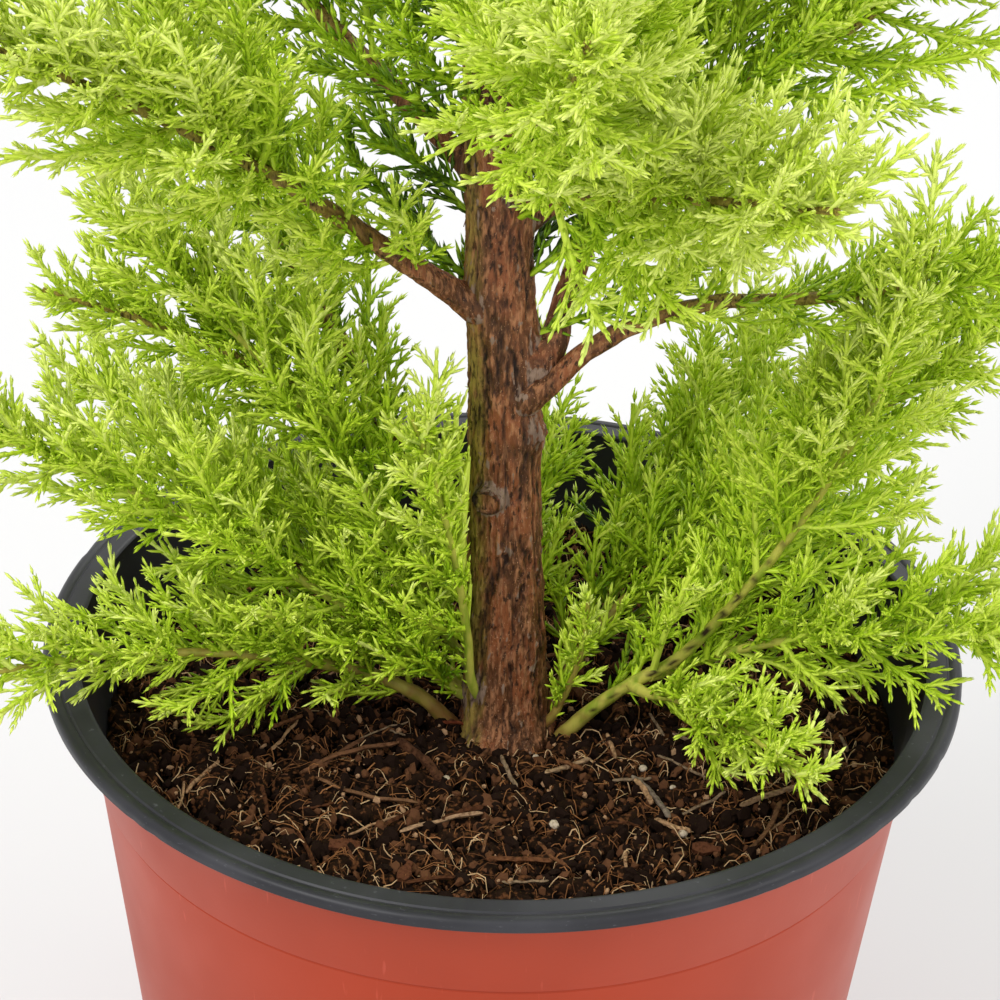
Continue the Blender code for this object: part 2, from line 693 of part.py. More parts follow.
def build_mass(space, owner, mass, home, section, thin=0):
    """Grows one mass and fuses its stem, twigs and plumes into one body."""
    tip_radius = STEM_TIP_RADIUS * MM
    stem_radii = [mix(mass.foot_radius, tip_radius, index / STEM_PARTS)
                  for index in range(STEM_PARTS + 1)]
    body = curve_tube(mass.name, [mass.path], [stem_radii], home, section)
    pieces = new_collection(f"{mass.name}_pieces")
    for index, share, path in twigs_of(space, owner, mass):
        if (index + thin) % SOLID_TWIG_STEP:
            continue
        root_radius = mix(mass.foot_radius, tip_radius, share) * SOLID_TWIG_SHARE
        aim = path[-1] - path[0]
        ends = (path[0], path[0] + aim * SOLID_TWIG_END)
        curve_tube(f"{mass.name}_twig", [ends], [(root_radius, SOLID_TWIG_TIP * MM)], pieces, section)
        draw = random.Random(mass.seed * 1000 + 500 + index)
        across = across_at(aim.normalized(), draw.uniform(-PLUME_ROLL_JITTER, PLUME_ROLL_JITTER))
        foot = path[0] + aim * PLUME_FOOT
        tip = path[0] + aim * PLUME_BEYOND
        width = plume_width(space, owner, foot, tip, across)
        if width:
            plume(f"{mass.name}_plume", foot, tip, across, width, pieces)
    crown_aim = (mass.path[-1] - mass.path[-2]).normalized()
    foot = mass.path[-1] - crown_aim * (END_PLUME_LENGTH * END_PLUME_SINK * MM)
    tip = foot + crown_aim * (END_PLUME_LENGTH * MM)
    plume(f"{mass.name}_end", foot, tip, across_at(crown_aim, 20.0), 1.0, pieces)
    for solver in ("EXACT", "MANIFOLD"):
        copy = object_from(mass.name + "_try", body.data.copy(), home)
        joined = boolean(copy, "UNION", collection=pieces, solver=solver)
        if drop_scraps(joined):
            break
        bpy.data.objects.remove(joined, do_unlink=True)
        joined = None
    for piece in list(pieces.objects):
        bpy.data.objects.remove(piece, do_unlink=True)
    bpy.data.collections.remove(pieces)
    bpy.data.objects.remove(body, do_unlink=True)
    if joined is None:
        if thin == SOLID_TRIES:
            raise RuntimeError(f"{mass.name} does not join into one closed body")
        return build_mass(space, owner, mass, home, section, thin + 1)
    joined.name = mass.name
    finish(joined, "foliage_lime", 40.0)
    return joined


def wall_outline():
    """Outside of the pot's wall above its foot as (radius, height), from the seam to the collar."""
    return [
        (POT_SEAM_RADIUS, POT_HEIGHT - POT_SEAM_DROP),
        (POT_NECK_RADIUS, POT_HEIGHT - POT_NECK_DROP),
        (POT_COLLAR_RADIUS, POT_HEIGHT - POT_COLLAR_DROP),
    ]


def build_pot(home, cutters):
    """Outer wall with its floor, and the black inner layer with the rolled rim."""
    top = POT_HEIGHT
    outer = wall_outline()
    body = [(0.0, POT_FLOOR)]
    body.append((POT_FOOT_RADIUS - POT_WALL, POT_FLOOR))
    body.extend((radius - POT_WALL, height) for radius, height in outer)
    body.extend(reversed(outer))
    body.append((POT_SEAM_RADIUS - POT_SEAM_STEP, top - POT_SEAM_DROP - POT_SEAM_STEP))
    body.append((POT_FOOT_RADIUS + 0.12 * POT_FOOT_BEVEL, POT_FOOT_BEVEL))
    body.append((POT_FOOT_RADIUS - POT_FOOT_BEVEL, 0.0))
    body.append((0.0, 0.0))
    wall = turned("pot_body", body, home)

    back_off = POT_WALL + GAP
    lining_out = [(radius - back_off, height) for radius, height in outer]
    lining_in = [(radius - LINING_WALL, height) for radius, height in lining_out]
    floor = POT_FLOOR + GAP
    foot_out = POT_FOOT_RADIUS - back_off
    lining = [(0.0, floor + LINING_WALL)]
    lining.append((foot_out - LINING_WALL, floor + LINING_WALL))
    lining.extend(lining_in)
    lining.append((RIM_INNER_RADIUS, top - RIM_EDGE_DROP))
    lining.append((RIM_INNER_RADIUS + 0.4 * MM, top))
    lining.append((RIM_SHOULDER_RADIUS, top))
    lining.append((RIM_SHOULDER_RADIUS + 1.2 * MM, top - 0.5 * MM))
    lining.append((RIM_RADIUS, top - 1.5 * MM))
    lining.append((RIM_RADIUS, top - RIM_SKIRT_DROP))
    lining.append((RIM_RADIUS - RIM_SKIRT_WALL, top - RIM_SKIRT_DROP))
    lining.append((RIM_RADIUS - RIM_SKIRT_WALL, top - RIM_UNDERSIDE_DROP))
    lining.append((lining_out[-1][0], top - RIM_UNDERSIDE_DROP))
    lining.extend(reversed(lining_out))
    lining.append((foot_out, floor))
    lining.append((0.0, floor))
    rim = turned("pot_rim", lining, home)

    for index in range(DRAIN_COUNT):
        turn = math.tau * (index + 0.5) / DRAIN_COUNT
        shape = bmesh.new()
        bmesh.ops.create_cone(shape, cap_ends=True, segments=DRAIN_SIDES, radius1=DRAIN_RADIUS,
                              radius2=DRAIN_RADIUS, depth=20.0 * MM)
        mesh = bpy.data.meshes.new("drain")
        shape.to_mesh(mesh)
        shape.free()
        drain = object_from("drain", mesh, cutters)
        drain.location = (DRAIN_RING_RADIUS * math.cos(turn), DRAIN_RING_RADIUS * math.sin(turn), 0.0)
        drain.hide_render = True
        drain.display_type = "WIRE"
    wall = boolean(wall, "DIFFERENCE", collection=cutters)
    rim = boolean(rim, "DIFFERENCE", collection=cutters)
    finish(wall, "terracotta_plastic")
    finish(rim, "black_plastic")
    return lining_in


def build_soil(home, lining_in):
    """The potting mix: a turned fill with a slightly uneven top."""
    foot = POT_FOOT_RADIUS - POT_WALL - LINING_WALL - 2.0 * GAP
    floor = POT_FLOOR + LINING_WALL + 2.0 * GAP
    heights = [floor] + [height for _, height in lining_in]
    radii = [foot] + [radius - GAP for radius, _ in lining_in]
    side = float(np.interp(SOIL_LEVEL, heights, radii)) - SOIL_SIDE_ROOM
    outline = [(0.0, SOIL_LEVEL)]
    for index in range(1, SOIL_RINGS + 1):
        outline.append((side * index / SOIL_RINGS, SOIL_LEVEL))
    outline.append((foot, floor))
    outline.append((0.0, floor))
    soil = turned("soil", outline, home, SOIL_STEPS)
    draw = random.Random(SOIL_SEED)
    for vert in soil.data.vertices:
        radius = math.hypot(vert.co.x, vert.co.y)
        if vert.co.z > SOIL_LEVEL - 0.1 * MM and SOIL_FLAT_RADIUS < radius < side - 1.0 * MM:
            vert.co.z += draw.uniform(-1.0, 0.6) * SOIL_BUMP
    finish(soil, "potting_mix", 60.0)


def build_trunk(home, cutters):
    """The trunk with its root flare, a pruned stub and a small burl, cut flat at the mix."""
    heights = [TRUNK_TOP * (index / TRUNK_RINGS) ** TRUNK_CROWDING for index in range(TRUNK_RINGS + 1)]
    heights[0] = -TRUNK_BELOW
    path = [trunk_point(height) for height in heights]
    radii = [trunk_radius(max(0.0, height)) for height in heights]
    trunk = curve_tube("trunk", [path], [radii], home, None, 3)
    lumps = new_collection("trunk_lumps")
    for azimuth in TOE_AZIMUTHS:
        foot = trunk_point(0.0)
        out = heading(azimuth, 0.0)
        high = foot + out * (trunk_radius(TOE_HEIGHT) * 0.45) + Vector((0.0, 0.0, TOE_HEIGHT))
        low = foot + out * TOE_REACH + Vector((0.0, 0.0, -3.0 * MM))
        middle = high.lerp(low, 0.5) + out * (0.4 * MM)
        radii = [TOE_RADIUS * 1.1, TOE_RADIUS, TOE_RADIUS * 0.6]
        curve_tube("toe", [[high, middle, low]], [radii], lumps, None, 1)
    for height, azimuth, radius, reach in (
            (STUB_HEIGHT, STUB_AZIMUTH, STUB_RADIUS, STUB_REACH),
            (BURL_HEIGHT, BURL_AZIMUTH, BURL_RADIUS, 0.7 * MM)):
        centre = trunk_point(height)
        out = heading(azimuth, 12.0)
        surface = trunk_radius(height)
        path = [centre + out * (surface * 0.4), centre + out * (surface + reach * 0.6),
                centre + out * (surface + reach)]
        curve_tube("stub", [path], [[radius * 1.15, radius, radius * 0.72]], lumps, None, 2)
    trunk = boolean(trunk, "UNION", collection=lumps)
    for lump in list(lumps.objects):
        bpy.data.objects.remove(lump, do_unlink=True)
    bpy.data.collections.remove(lumps)
    below = ground_cutter(cutters)
    trunk = boolean(trunk, "DIFFERENCE", other=below)
    if not drop_scraps(trunk):
        raise RuntimeError("the trunk is not one closed body")
    finish(trunk, "bark", 50.0)


def ground_cutter(cutters):
    """A block whose top is a gap above the level of the mix, for cutting limbs off flat."""
    found = bpy.data.objects.get("ground_cutter")
    if found:
        return found
    shape = bmesh.new()
    bmesh.ops.create_cube(shape, size=1.0)
    depth = 40.0 * MM
    middle = Matrix.Translation((0.0, 0.0, SOIL_LEVEL + GAP - depth / 2.0))
    bmesh.ops.transform(shape, matrix=middle @ Matrix.Diagonal((0.12, 0.12, depth, 1.0)),
                        verts=shape.verts)
    mesh = bpy.data.meshes.new("ground_cutter")
    shape.to_mesh(mesh)
    shape.free()
    made = object_from("ground_cutter", mesh, cutters)
    made.hide_render = True
    made.display_type = "WIRE"
    return made


def build_limbs(limbs, home, cutters):
    """All boughs and low stems; a stem that rises from the mix is cut flat at its level."""
    for limb in limbs.values():
        path = list(limb.path)
        parts = len(path) - 1
        radii = [mix(limb.radii[0], limb.radii[1], index / parts) for index in range(parts + 1)]
        from_mix = path[0].z < SOIL_LEVEL + 1.0 * MM
        if from_mix:
            aim = (path[1] - path[0]).normalized()
            path[0] = path[0] - aim * (5.0 * MM)
        made = curve_tube(limb.name, [path], [radii], home, None, 1)
        if from_mix:
            made = boolean(made, "DIFFERENCE", other=ground_cutter(cutters))
        made.name = limb.name
        finish(made, "green_bark" if from_mix else "bark", 50.0)


def main():
    """Builds the whole plant in its pot."""
    clear_scene()
    home = new_collection(OBJECT_NAME)
    cutters = new_collection("cutters")
    helpers = new_collection("helpers")
    drains = new_collection("drains")
    lining_in = build_pot(home, drains)
    build_soil(home, lining_in)
    build_trunk(home, cutters)
    limbs = plan_limbs()
    masses = plan_masses(limbs)
    build_limbs(limbs, home, cutters)
    space = Space(limbs, masses)
    section = three_sided_section(helpers)
    for owner, mass in enumerate(masses):
        build_mass(space, owner, mass, home, section)
    bpy.data.objects.remove(section, do_unlink=True)
    bpy.data.collections.remove(helpers)


if __name__ == "__main__":
    main()
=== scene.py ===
"""Looks of a young lemon cypress in a red-brown pot with a black rim, laid out as a Blender add-on.

Metres, +Z up. The pot stands on its flat underside, whose centre is the origin. The viewer of the
picture stands on the -Y side and sees +X to the right. The limbs and the foliage grow by the same
seeded rule as the solids, carried here to finer shoots and to single needles.
"""
import math
import random

import bmesh
import bpy
import numpy as np
from bpy.props import FloatProperty, FloatVectorProperty, IntProperty, PointerProperty
from mathutils import Matrix, Vector, noise


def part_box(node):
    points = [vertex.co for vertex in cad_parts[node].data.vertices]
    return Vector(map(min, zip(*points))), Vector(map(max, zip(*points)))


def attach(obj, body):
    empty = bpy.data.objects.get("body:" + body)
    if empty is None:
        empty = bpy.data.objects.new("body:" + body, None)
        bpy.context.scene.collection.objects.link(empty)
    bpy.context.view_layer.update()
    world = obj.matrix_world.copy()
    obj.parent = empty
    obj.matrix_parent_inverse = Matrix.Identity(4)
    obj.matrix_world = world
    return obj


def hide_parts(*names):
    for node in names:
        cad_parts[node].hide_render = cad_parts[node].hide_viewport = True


bl_info = {
    "name": "Potted lemon cypress",
    "version": (1, 0, 0),
    "blender": (4, 5, 0),
    "location": "3D View > Sidebar > Cypress",
    "description": "Builds a young lemon cypress in a round two-colour pot",
    "category": "Add Mesh",
}

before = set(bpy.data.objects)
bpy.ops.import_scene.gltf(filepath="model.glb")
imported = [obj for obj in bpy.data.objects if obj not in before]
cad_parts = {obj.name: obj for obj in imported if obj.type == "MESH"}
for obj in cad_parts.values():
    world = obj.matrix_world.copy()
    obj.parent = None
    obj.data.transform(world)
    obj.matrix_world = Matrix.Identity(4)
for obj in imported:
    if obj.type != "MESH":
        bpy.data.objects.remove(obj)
RIM_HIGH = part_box("pot_rim")[1]
SOIL_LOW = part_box("soil")[0]

MM = 0.001
UP = Vector((0.0, 0.0, 1.0))
FAR_AWAY = 9.0                       # metres, farther than anything here

# The pot, as in the solids.
POT_HEIGHT = RIM_HIGH.z
RIM_RADIUS = 84.0 * MM
POT_FOOT_RADIUS = 60.3 * MM
POT_SEAM_DROP = 21.5 * MM
POT_SEAM_RADIUS = 75.2 * MM
POT_SEAM_STEP = 0.4 * MM
SEAM_GROOVE = 0.3 * MM
POT_NECK_DROP = 7.0 * MM
POT_NECK_RADIUS = 77.0 * MM
POT_COLLAR_DROP = 2.6 * MM
POT_COLLAR_RADIUS = 79.0 * MM
POT_WALL = 0.9 * MM
POT_FLOOR = 1.4 * MM
LINING_WALL = 0.8 * MM
RIM_INNER_RADIUS = 77.3 * MM
RIM_UNDERSIDE_DROP = 1.3 * MM
DRAIN_COUNT = 8
DRAIN_RADIUS = 4.5 * MM
DRAIN_RING_RADIUS = 46.0 * MM
GAP = 0.3 * MM
SOIL_LEVEL = POT_HEIGHT - 19.5 * MM
TURN_STEPS = 288

# Sections of the pot's edges: offsets in millimetres from the radius and the height each is named
# after, outwards and upwards.
FOOT_EDGE = ((0.15, 1.3), (-0.1, 0.6), (-0.5, 0.18), (-1.2, 0.0))
LIP_INSIDE = ((0.0, -0.9), (0.12, -0.35), (0.5, -0.06), (1.0, 0.0))
LIP_GROOVE = ((-0.4, -0.02), (-0.1, -0.28), (0.15, -0.3), (0.5, -0.06))
GROOVE_INSET = 2.6 * MM
BEAD_RADIUS = 1.3 * MM
SKIRT_DROP = 2.3 * MM
NICK_COUNT = 26

# Where the camera stands, and its yaw, pitch and roll in radians.
CAMERA_PLACE = (0.0, -0.5251, 0.4941)
CAMERA_TURNS = (-0.0027, 0.54542, 0.03055)

# The trunk, as in the solids.
TRUNK_TOP = 470.0 * MM
TRUNK_LEAN = -0.044
TRUNK_FOOT_X = 1.0 * MM
TRUNK_SWAY = 1.1 * MM
TRUNK_RADIUS = 6.9 * MM
TRUNK_TIP_RADIUS = 0.9 * MM
TRUNK_FLARE = 1.5 * MM
TRUNK_FLARE_HEIGHT = 7.0 * MM
TOE_AZIMUTHS = (92.0, 138.0, 238.0, 302.0)

# Spots on the trunk's bark: height in millimetres and azimuth in degrees.
STUB = (52.0, 246.0)                 # pale disc where a branch was cut off
BURL = (20.0, 330.0)
KNOB = (64.0, 333.0)
STUB_PAPER = 4.6 * MM                # radius of the torn skin round the disc
STUB_DISC = 3.1 * MM
STUB_RISE = 1.5 * MM
STUB_LIP = 2.05 * MM
STUB_SUNK = 1.8 * MM
BURL_RISE = 0.8 * MM
BURL_WIDTH = 2.4 * MM
KNOB_RISE = 1.7 * MM
KNOB_WIDTH = 3.2 * MM
MOSS_AZIMUTH = 215.0                 # middle of the greenish flank
MOSS_WIDTH = 0.55                    # radians
MOSS_TOP = 0.08                      # metres; fainter above
FOOT_SCAR = 3.4                      # reach of the swelling at a limb's foot, in radii of the limb
CRACK_WIDTH = 0.13
TRUNK_SIDES = 120
TRUNK_RINGS = (0.5 * MM, 2.0 * MM)   # spacing of the rings in the picture and above it
TRUNK_FINE_TOP = 0.14                # metres above the mix
LOOSE_FLAKES = 120
FLAKES_PER_FOOT = 5                  # round the foot of every limb
FLAKES_TOP = 0.2                     # metres; few hang higher
FLAKE_THICKNESS = 0.07 * MM
STEM_FOOT_RADIUS = 11.2

# Boughs and low stems: name, foot height on the trunk or None for a stem that rises from the mix,
# side of the trunk, azimuth, rise at the foot, rise at the tip, length, radius at the foot and at
# the tip. Sides, azimuths and rises are in degrees, all else in millimetres; azimuth 0 is +X.
BOUGHS = (
    ("bough_left_front", 91.0, 208.0, 214.0, 40.0, 42.0, 33.0, 2.3, 1.5),
    ("bough_right_rear", 80.5, 352.0, 42.0, 70.0, 60.0, 34.0, 2.4, 1.6),
    ("bough_right", 73.5, 330.0, 357.0, 46.0, 6.0, 48.0, 2.0, 1.1),
    ("bough_left_rear", 34.0, 150.0, 143.0, 50.0, 46.0, 52.0, 2.5, 1.6),
    ("stem_low_left", None, 176.0, 186.0, 50.0, 30.0, 14.0, 2.2, 1.7),
    ("stem_low_right", None, 346.0, 349.0, 52.0, 38.0, 26.0, 2.0, 1.5),
    ("stem_low_rear", None, 40.0, 40.0, 58.0, 40.0, 18.0, 2.1, 1.6),
)

# Masses of foliage: name, host, millimetres along the host or None for its tip, side of the host,
# azimuth, rise at the foot, rise at the tip, length of the stem, reach of the side twigs.
MASSES = (
    ("foliage_left_front", "bough_left_front", None, 0.0, 222.0, 40.0, 30.0, 88.0, 34.0),
    ("foliage_right_rear", "bough_right_rear", None, 0.0, 36.0, 58.0, 46.0, 96.0, 34.0),
    ("foliage_right", "bough_right", None, 0.0, 2.0, 6.0, 16.0, 64.0, 20.0),
    ("foliage_left_rear", "bough_left_rear", None, 0.0, 146.0, 48.0, 58.0, 84.0, 30.0),
    ("foliage_left_rear_side", "bough_left_rear", 28.0, 190.0, 184.0, 34.0, 20.0, 66.0, 22.0),
    ("foliage_front_right", "trunk", 112.0, 300.0, 293.0, 25.0, 21.0, 108.0, 36.0),
    ("foliage_low_left_rim", "stem_low_left", None, 0.0, 206.0, 27.0, -4.0, 92.0, 26.0),
    ("foliage_low_left_front", "trunk", 12.0, 226.0, 232.0, 80.0, 70.0, 66.0, 25.0),
    ("foliage_low_left", "trunk", 8.0, 192.0, 190.0, 44.0, 26.0, 112.0, 34.0),
    ("foliage_low_left_high", "trunk", 14.0, 172.0, 174.0, 64.0, 42.0, 110.0, 34.0),
    ("foliage_low_left_back", "trunk", 6.0, 153.0, 155.0, 30.0, 24.0, 96.0, 28.0),
    ("foliage_low_right", "stem_low_right", None, 0.0, 352.0, 54.0, 78.0, 100.0, 32.0),
    ("foliage_low_right_front", "stem_low_right", 20.0, 300.0, 306.0, 22.0, 2.0, 52.0, 18.0),
    ("foliage_low_right_rim", "stem_low_right", 24.0, 30.0, 340.0, 30.0, 6.0, 92.0, 28.0),
    ("foliage_low_right_back", "stem_low_rear", None, 0.0, 14.0, 38.0, 30.0, 106.0, 34.0),
    ("foliage_low_rear_right", "stem_low_rear", 16.0, 70.0, 60.0, 34.0, 22.0, 76.0, 30.0),
    ("foliage_low_rear", "trunk", 10.0, 84.0, 84.0, 30.0, 30.0, 66.0, 24.0),
    ("foliage_sprig", "trunk", 4.0, 338.0, 345.0, 66.0, 88.0, 28.0, 8.0),
)

# Higher up the boughs stand round the trunk in a rising spiral.
SPIRAL_COUNT = 20
SPIRAL_FOOT = 106.0
SPIRAL_TOP = 428.0
SPIRAL_CROWDING = 1.28
SPIRAL_AZIMUTH = 5.0
GOLDEN_ANGLE = 137.508
SPIRAL_LENGTHS = (128.0, 48.0)
SPIRAL_RISES = (27.0, 66.0)
SPIRAL_REACH = (38.0, 16.0)
SPIRAL_BOUGHS = 7
SPIRAL_BOUGH_LENGTH = 26.0
LEADER_LENGTH = 30.0
LEADER_REACH = 14.0

# The rule by which a mass grows. Lengths are in millimetres, angles in degrees; a share runs from 0
# at the foot of a stem or twig to 1 at its tip.
STEM_PARTS = 5
STEM_TURN = 14.0
STEM_FOOT_RADII = (1.2, 1.7)
STEM_LONG = 110.0
SECTION_FLAT = 0.7
TWIG_SPACING = 5.2
TWIG_SHARES = (0.07, 0.98)
TWIG_JITTER = 0.6
TWIG_ROLL_JITTER = 20.0
TWIG_OPEN = (60.0, 36.0)
TWIG_OPEN_JITTER = 6.0
TWIG_YOUNG = 0.55
TWIG_GROWTH = 2.4
TWIG_TAPER = 0.74
TWIG_TAPER_POWER = 1.7
TWIG_LENGTHS = (0.82, 1.08)
TWIG_PARTS = 6
TWIG_CURL = 0.42
TWIG_LIFT = 0.16
TWIG_ROOM = 0.5
TWIG_LEAST_PARTS = 2
SPRAY_SPACING = 3.3
SPRAY_SHARES = (0.16, 0.96)
SPRAY_JITTER = 0.5
SPRAY_ROLL_JITTER = 18.0
SPRAY_ROLL_STEP = 42.0
SPRAY_OPEN = 41.0
SPRAY_OPEN_JITTER = 8.0
SPRAY_LENGTH = 13.5
SPRAY_SHARE = 0.5
SPRAY_TAPER = 0.58
SPRAY_LENGTHS = (0.78, 1.12)
SPRAY_PARTS = 4
SPRAY_ROOM = 0.9
SPRAY_LEAST_PARTS = 3
KEEP_FROM_NEIGHBOUR = 1.6
KEEP_FROM_LIMB = 1.0
KEEP_FROM_GROUND = 2.0
KEEP_FROM_RIM = 1.5
KEEP_FROM_WALL = 6.0

# What grows in this file alone: further twigs between the rule's own, plumes along the upper side
# of a stem, twigs along the boughs and the trunk, and short shoots along stems and twigs. Plumes
# and twigs open from their stem and turn upwards by their lift.
EXTRA_LENGTH = 0.8                   # of a further twig, as a share of one of the rule's own
EXTRA_SEED = 400
PLUME_SPACING = 4.7
PLUME_SHARES = (0.02, 0.97)
PLUME_JITTER = 0.7
PLUME_SIDES = 85.0                   # degrees to either side of straight up
PLUME_TAPER = 0.5
PLUME_LENGTHS = (0.85, 1.2)
PLUME_OPEN = (28.0, 48.0)
PLUME_LIFT = 0.62
PLUME_CURL = 0.25
BOUGH_TWIG_SPACING = 3.4
BOUGH_TWIG_LENGTHS = (12.0, 34.0)
BOUGH_TWIG_OPEN = (40.0, 56.0)
BOUGH_TWIG_FROM = 0.36               # share of the bough that stays bare at its foot
BOUGH_TWIG_LIFT = 0.5
COLLAR_SPACING = 3.1
COLLAR_LENGTHS = (4.5, 10.5)
BETWEEN_SPACING = 6.5
BETWEEN_LENGTHS = (4.0, 8.0)
TRUNK_TWIG_FROM = 82.0
TRUNK_TWIG_SPACINGS = (2.2, 7.0)      # below and above the height from which the crown is hidden
TRUNK_TWIG_LENGTHS = (52.0, 16.0)
TRUNK_TWIG_RISES = (26.0, 52.0)
TRUNK_TWIG_END = 6.0                 # below the trunk's tip
TRUNK_TWIG_LIFT = 0.07
SHOOT_SHARE_END = 0.97               # short shoots stand up to this share of a stem or twig
SHOOT_ROOM = 0.2 * MM                 # that a short shoot or a bough's twig needs
SCAR_SPACING = 4.7 * MM               # oval scars along the pale low stem
SCAR_LENGTH = 1.35 * MM
SCAR_WIDTH = 0.8 * MM
GREEN_FROM = 0.16                     # share of a limb from which its bark turns green
HOST_REACH = 3.0                      # a limb that starts this near the trunk grows from it
STEM_SLIMMER = 0.85                  # thickness of the drawn stems, as a share of the solids'
LOW_STEM_SLIMMER = 0.72
STEM_TIP_RADIUS = 0.55 * MM
HIGH_UP = 0.30                       # metres; masses above this height bear fewer, larger needles
FULL_FROM = 0.2                      # metres; below this height only every other extra twig grows
REAR_FROM = 0.012                    # metres; masses whose middle is behind this are rear ones

# Spacing and size of the needles, as factors, and whether they are blunt, by place.
DETAIL = {"near": (1.0, 1.0, True), "rear": (1.12, 1.16, False), "high": (1.55, 1.8, False)}

# The picture shows the trunk bare up to this height, and the right low stem along this length, each
# this many millimetres to either side of its middle.
BARE_TRUNK = 100.0
BARE_TRUNK_WIDTH = 6.3
BARE_STEM = 62.0
BARE_STEM_WIDTH = 2.1
BARE_LINES = []                      # filled with these two lines once the stems are planned

# Needles along each kind of axis, in millimetres and degrees: spacing of the pairs, length, opening
# at the foot and at the tip.
NEEDLES = {
    "stem": (2.2, 3.7, 42.0, 34.0),
    "twig": (1.9, 3.6, 45.0, 32.0),
    "spray": (1.5, 3.1, 45.0, 30.0),
    "shoot": (1.5, 2.7, 42.0, 28.0),
}
TIP_NEEDLES = 3
TIP_OPEN = 16.0
TIP_NEEDLE_SHARE = 0.74              # length of the needles at a tip, as a share of the others
NEEDLE_JITTER = 0.4                  # how far pairs stray along the axis, in spacings
NEEDLE_ROLL_JITTER = 16.0
NEEDLE_OPEN_SPREAD = 5.0
NEEDLE_SHORTENS = 0.28               # towards the tip of its axis, as a share
NEEDLE_WIDTHS = (0.88, 1.12)
NEEDLE_LENGTHS = (0.8, 1.15)
PIECE_FACES = 196000                 # triangles, at most, in one piece of needles
BLUNT_FACES = 10
SLIM_FACES = 6
NEEDLE_SIDES = 3
NEEDLE_SHOULDER = 0.7                # share of its length where a blunt needle narrows to its tip
NEEDLE_BELLY = 0.45                  # and where a slim one is widest
NEEDLE_NARROWS = 0.86                # width of a blunt needle above its shoulder, as a share

# Half thickness of each kind of axis at its foot and at its tip, in millimetres.
AXES = {"twig": (0.8, 0.5), "spray": (0.5, 0.36), "shoot": (0.4, 0.32)}

# A tone runs from 0 deep inside the crown to 1 at its palest tips: partly the yellow of young tips,
# partly painted shade deep inside the crown. That of a mass rises towards the viewer and upwards,
# painted light on the lit front and top, by so much for each metre, and stays within a range.
TONE_AT_TRUNK = 0.41
PAINTED_LIGHT_TO_VIEWER = 1.4
PAINTED_LIGHT_UPWARDS = 0.15
TONE_RANGE = (0.12, 0.5)
TONE_ALONG = 0.24                    # rise from the foot to the tip of an axis: yellower young tips, and painted shade at the inner foot
TONE_SPREAD = 0.045

# Shades of the foliage from the inside of the crown to its tips, the darker ones partly painted
# shade: name and colour in sRGB.
SHADES = (
    ("deep", (66, 98, 8)),
    ("green", (118, 156, 18)),
    ("leaf", (170, 204, 36)),
    ("lime", (202, 230, 58)),
    ("bright", (222, 242, 88)),
    ("lemon", (234, 248, 126)),
)

# The two plastics of the pot: roughness and shine, then three grains as scale, stretch, detail, low
# and high, then the factor and the addition that lighten a colour, the range of the roughness, and
# the strength and depth of the fine relief in metres.
PLASTICS = {
    "satin_wall": {
        "satin": (0.42, 0.38), "clouds": (28.0, 1.0, 3.0, 0.3, 0.75), "clouded": (0.88, 0.0),
        "scuffs": (620.0, 9.0, 2.0, 0.68, 0.76), "scuffed": (1.12, 0.02), "dulls": (0.34, 0.48),
        "fine": (1400.0, 1.0, 2.0), "relief": (0.12, 0.00008),
    },
    "satin_rim": {
        "satin": (0.4, 0.25), "clouds": (60.0, 1.0, 4.0, 0.35, 0.75), "clouded": (1.5, 0.006),
        "scuffs": (900.0, 0.25, 3.0, 0.66, 0.74), "scuffed": (2.6, 0.015), "dulls": (0.3, 0.46),
        "fine": (1100.0, 1.0, 3.0), "relief": (0.14, 0.0001),
    },
}

# Lights of the stage: name, place, point aimed at, side in metres and power in watts.
LIGHTS = (
    ("key", (-0.9, -0.9, 1.6), (0.0, 0.0, 0.2), 0.8, 16.0),
    ("fill", (1.2, -0.6, 0.9), (0.0, 0.0, 0.2), 0.9, 5.0),
    ("back", (0.3, 1.2, 1.5), (0.0, 0.0, 0.3), 0.9, 8.0),
)
FLOOR_HALF = 4.0                     # metres, half the side of the floor
SENSOR_WIDTH = 36.0                  # millimetres
CLIP_START = 0.01                    # metres


def linear(colour):
    """Linear colour of an sRGB triple from 0 to 255."""
    shares = [value / 255.0 for value in colour]
    return tuple(v / 12.92 if v <= 0.04045 else ((v + 0.055) / 1.055) ** 2.4 for v in shares)


def mix(first, second, share):
    """Value the given share of the way from the first to the second."""
    return first + (second - first) * share


def clamp(value):
    """Value kept between 0 and 1."""
    return min(1.0, max(0.0, value))


def bell(off, wide):
    """Height from 1 to 0 of a round hump, off its middle and as wide as given."""
    return math.exp(-(off / wide) ** 2)


def polar(radius, turn):
    """X and Y at a radius and an angle in radians."""
    return radius * math.cos(turn), radius * math.sin(turn)


def heading(azimuth, rise):
    """Unit direction for an azimuth and a rise in degrees."""
    turn = math.radians(azimuth)
    lift = math.radians(rise)
    level = math.cos(lift)
    return Vector((math.cos(turn) * level, math.sin(turn) * level, math.sin(lift)))


class PotSettings(bpy.types.PropertyGroup):
    """Sizes and colours of the pot."""

    height: FloatProperty(name="Height", description="Height of the pot to the top of its rim",
                          default=POT_HEIGHT, unit="LENGTH")
    rim_radius: FloatProperty(name="Rim radius", description="Outer radius of the rolled rim",
                              default=RIM_RADIUS, unit="LENGTH")
    wall_colour: FloatVectorProperty(name="Wall", description="Colour of the outer wall",
                                     subtype="COLOR", size=3, default=linear((171, 51, 2)))
    rim_colour: FloatVectorProperty(name="Rim", description="Colour of the rim and the lining",
                                    subtype="COLOR", size=3, default=linear((42, 42, 46)))


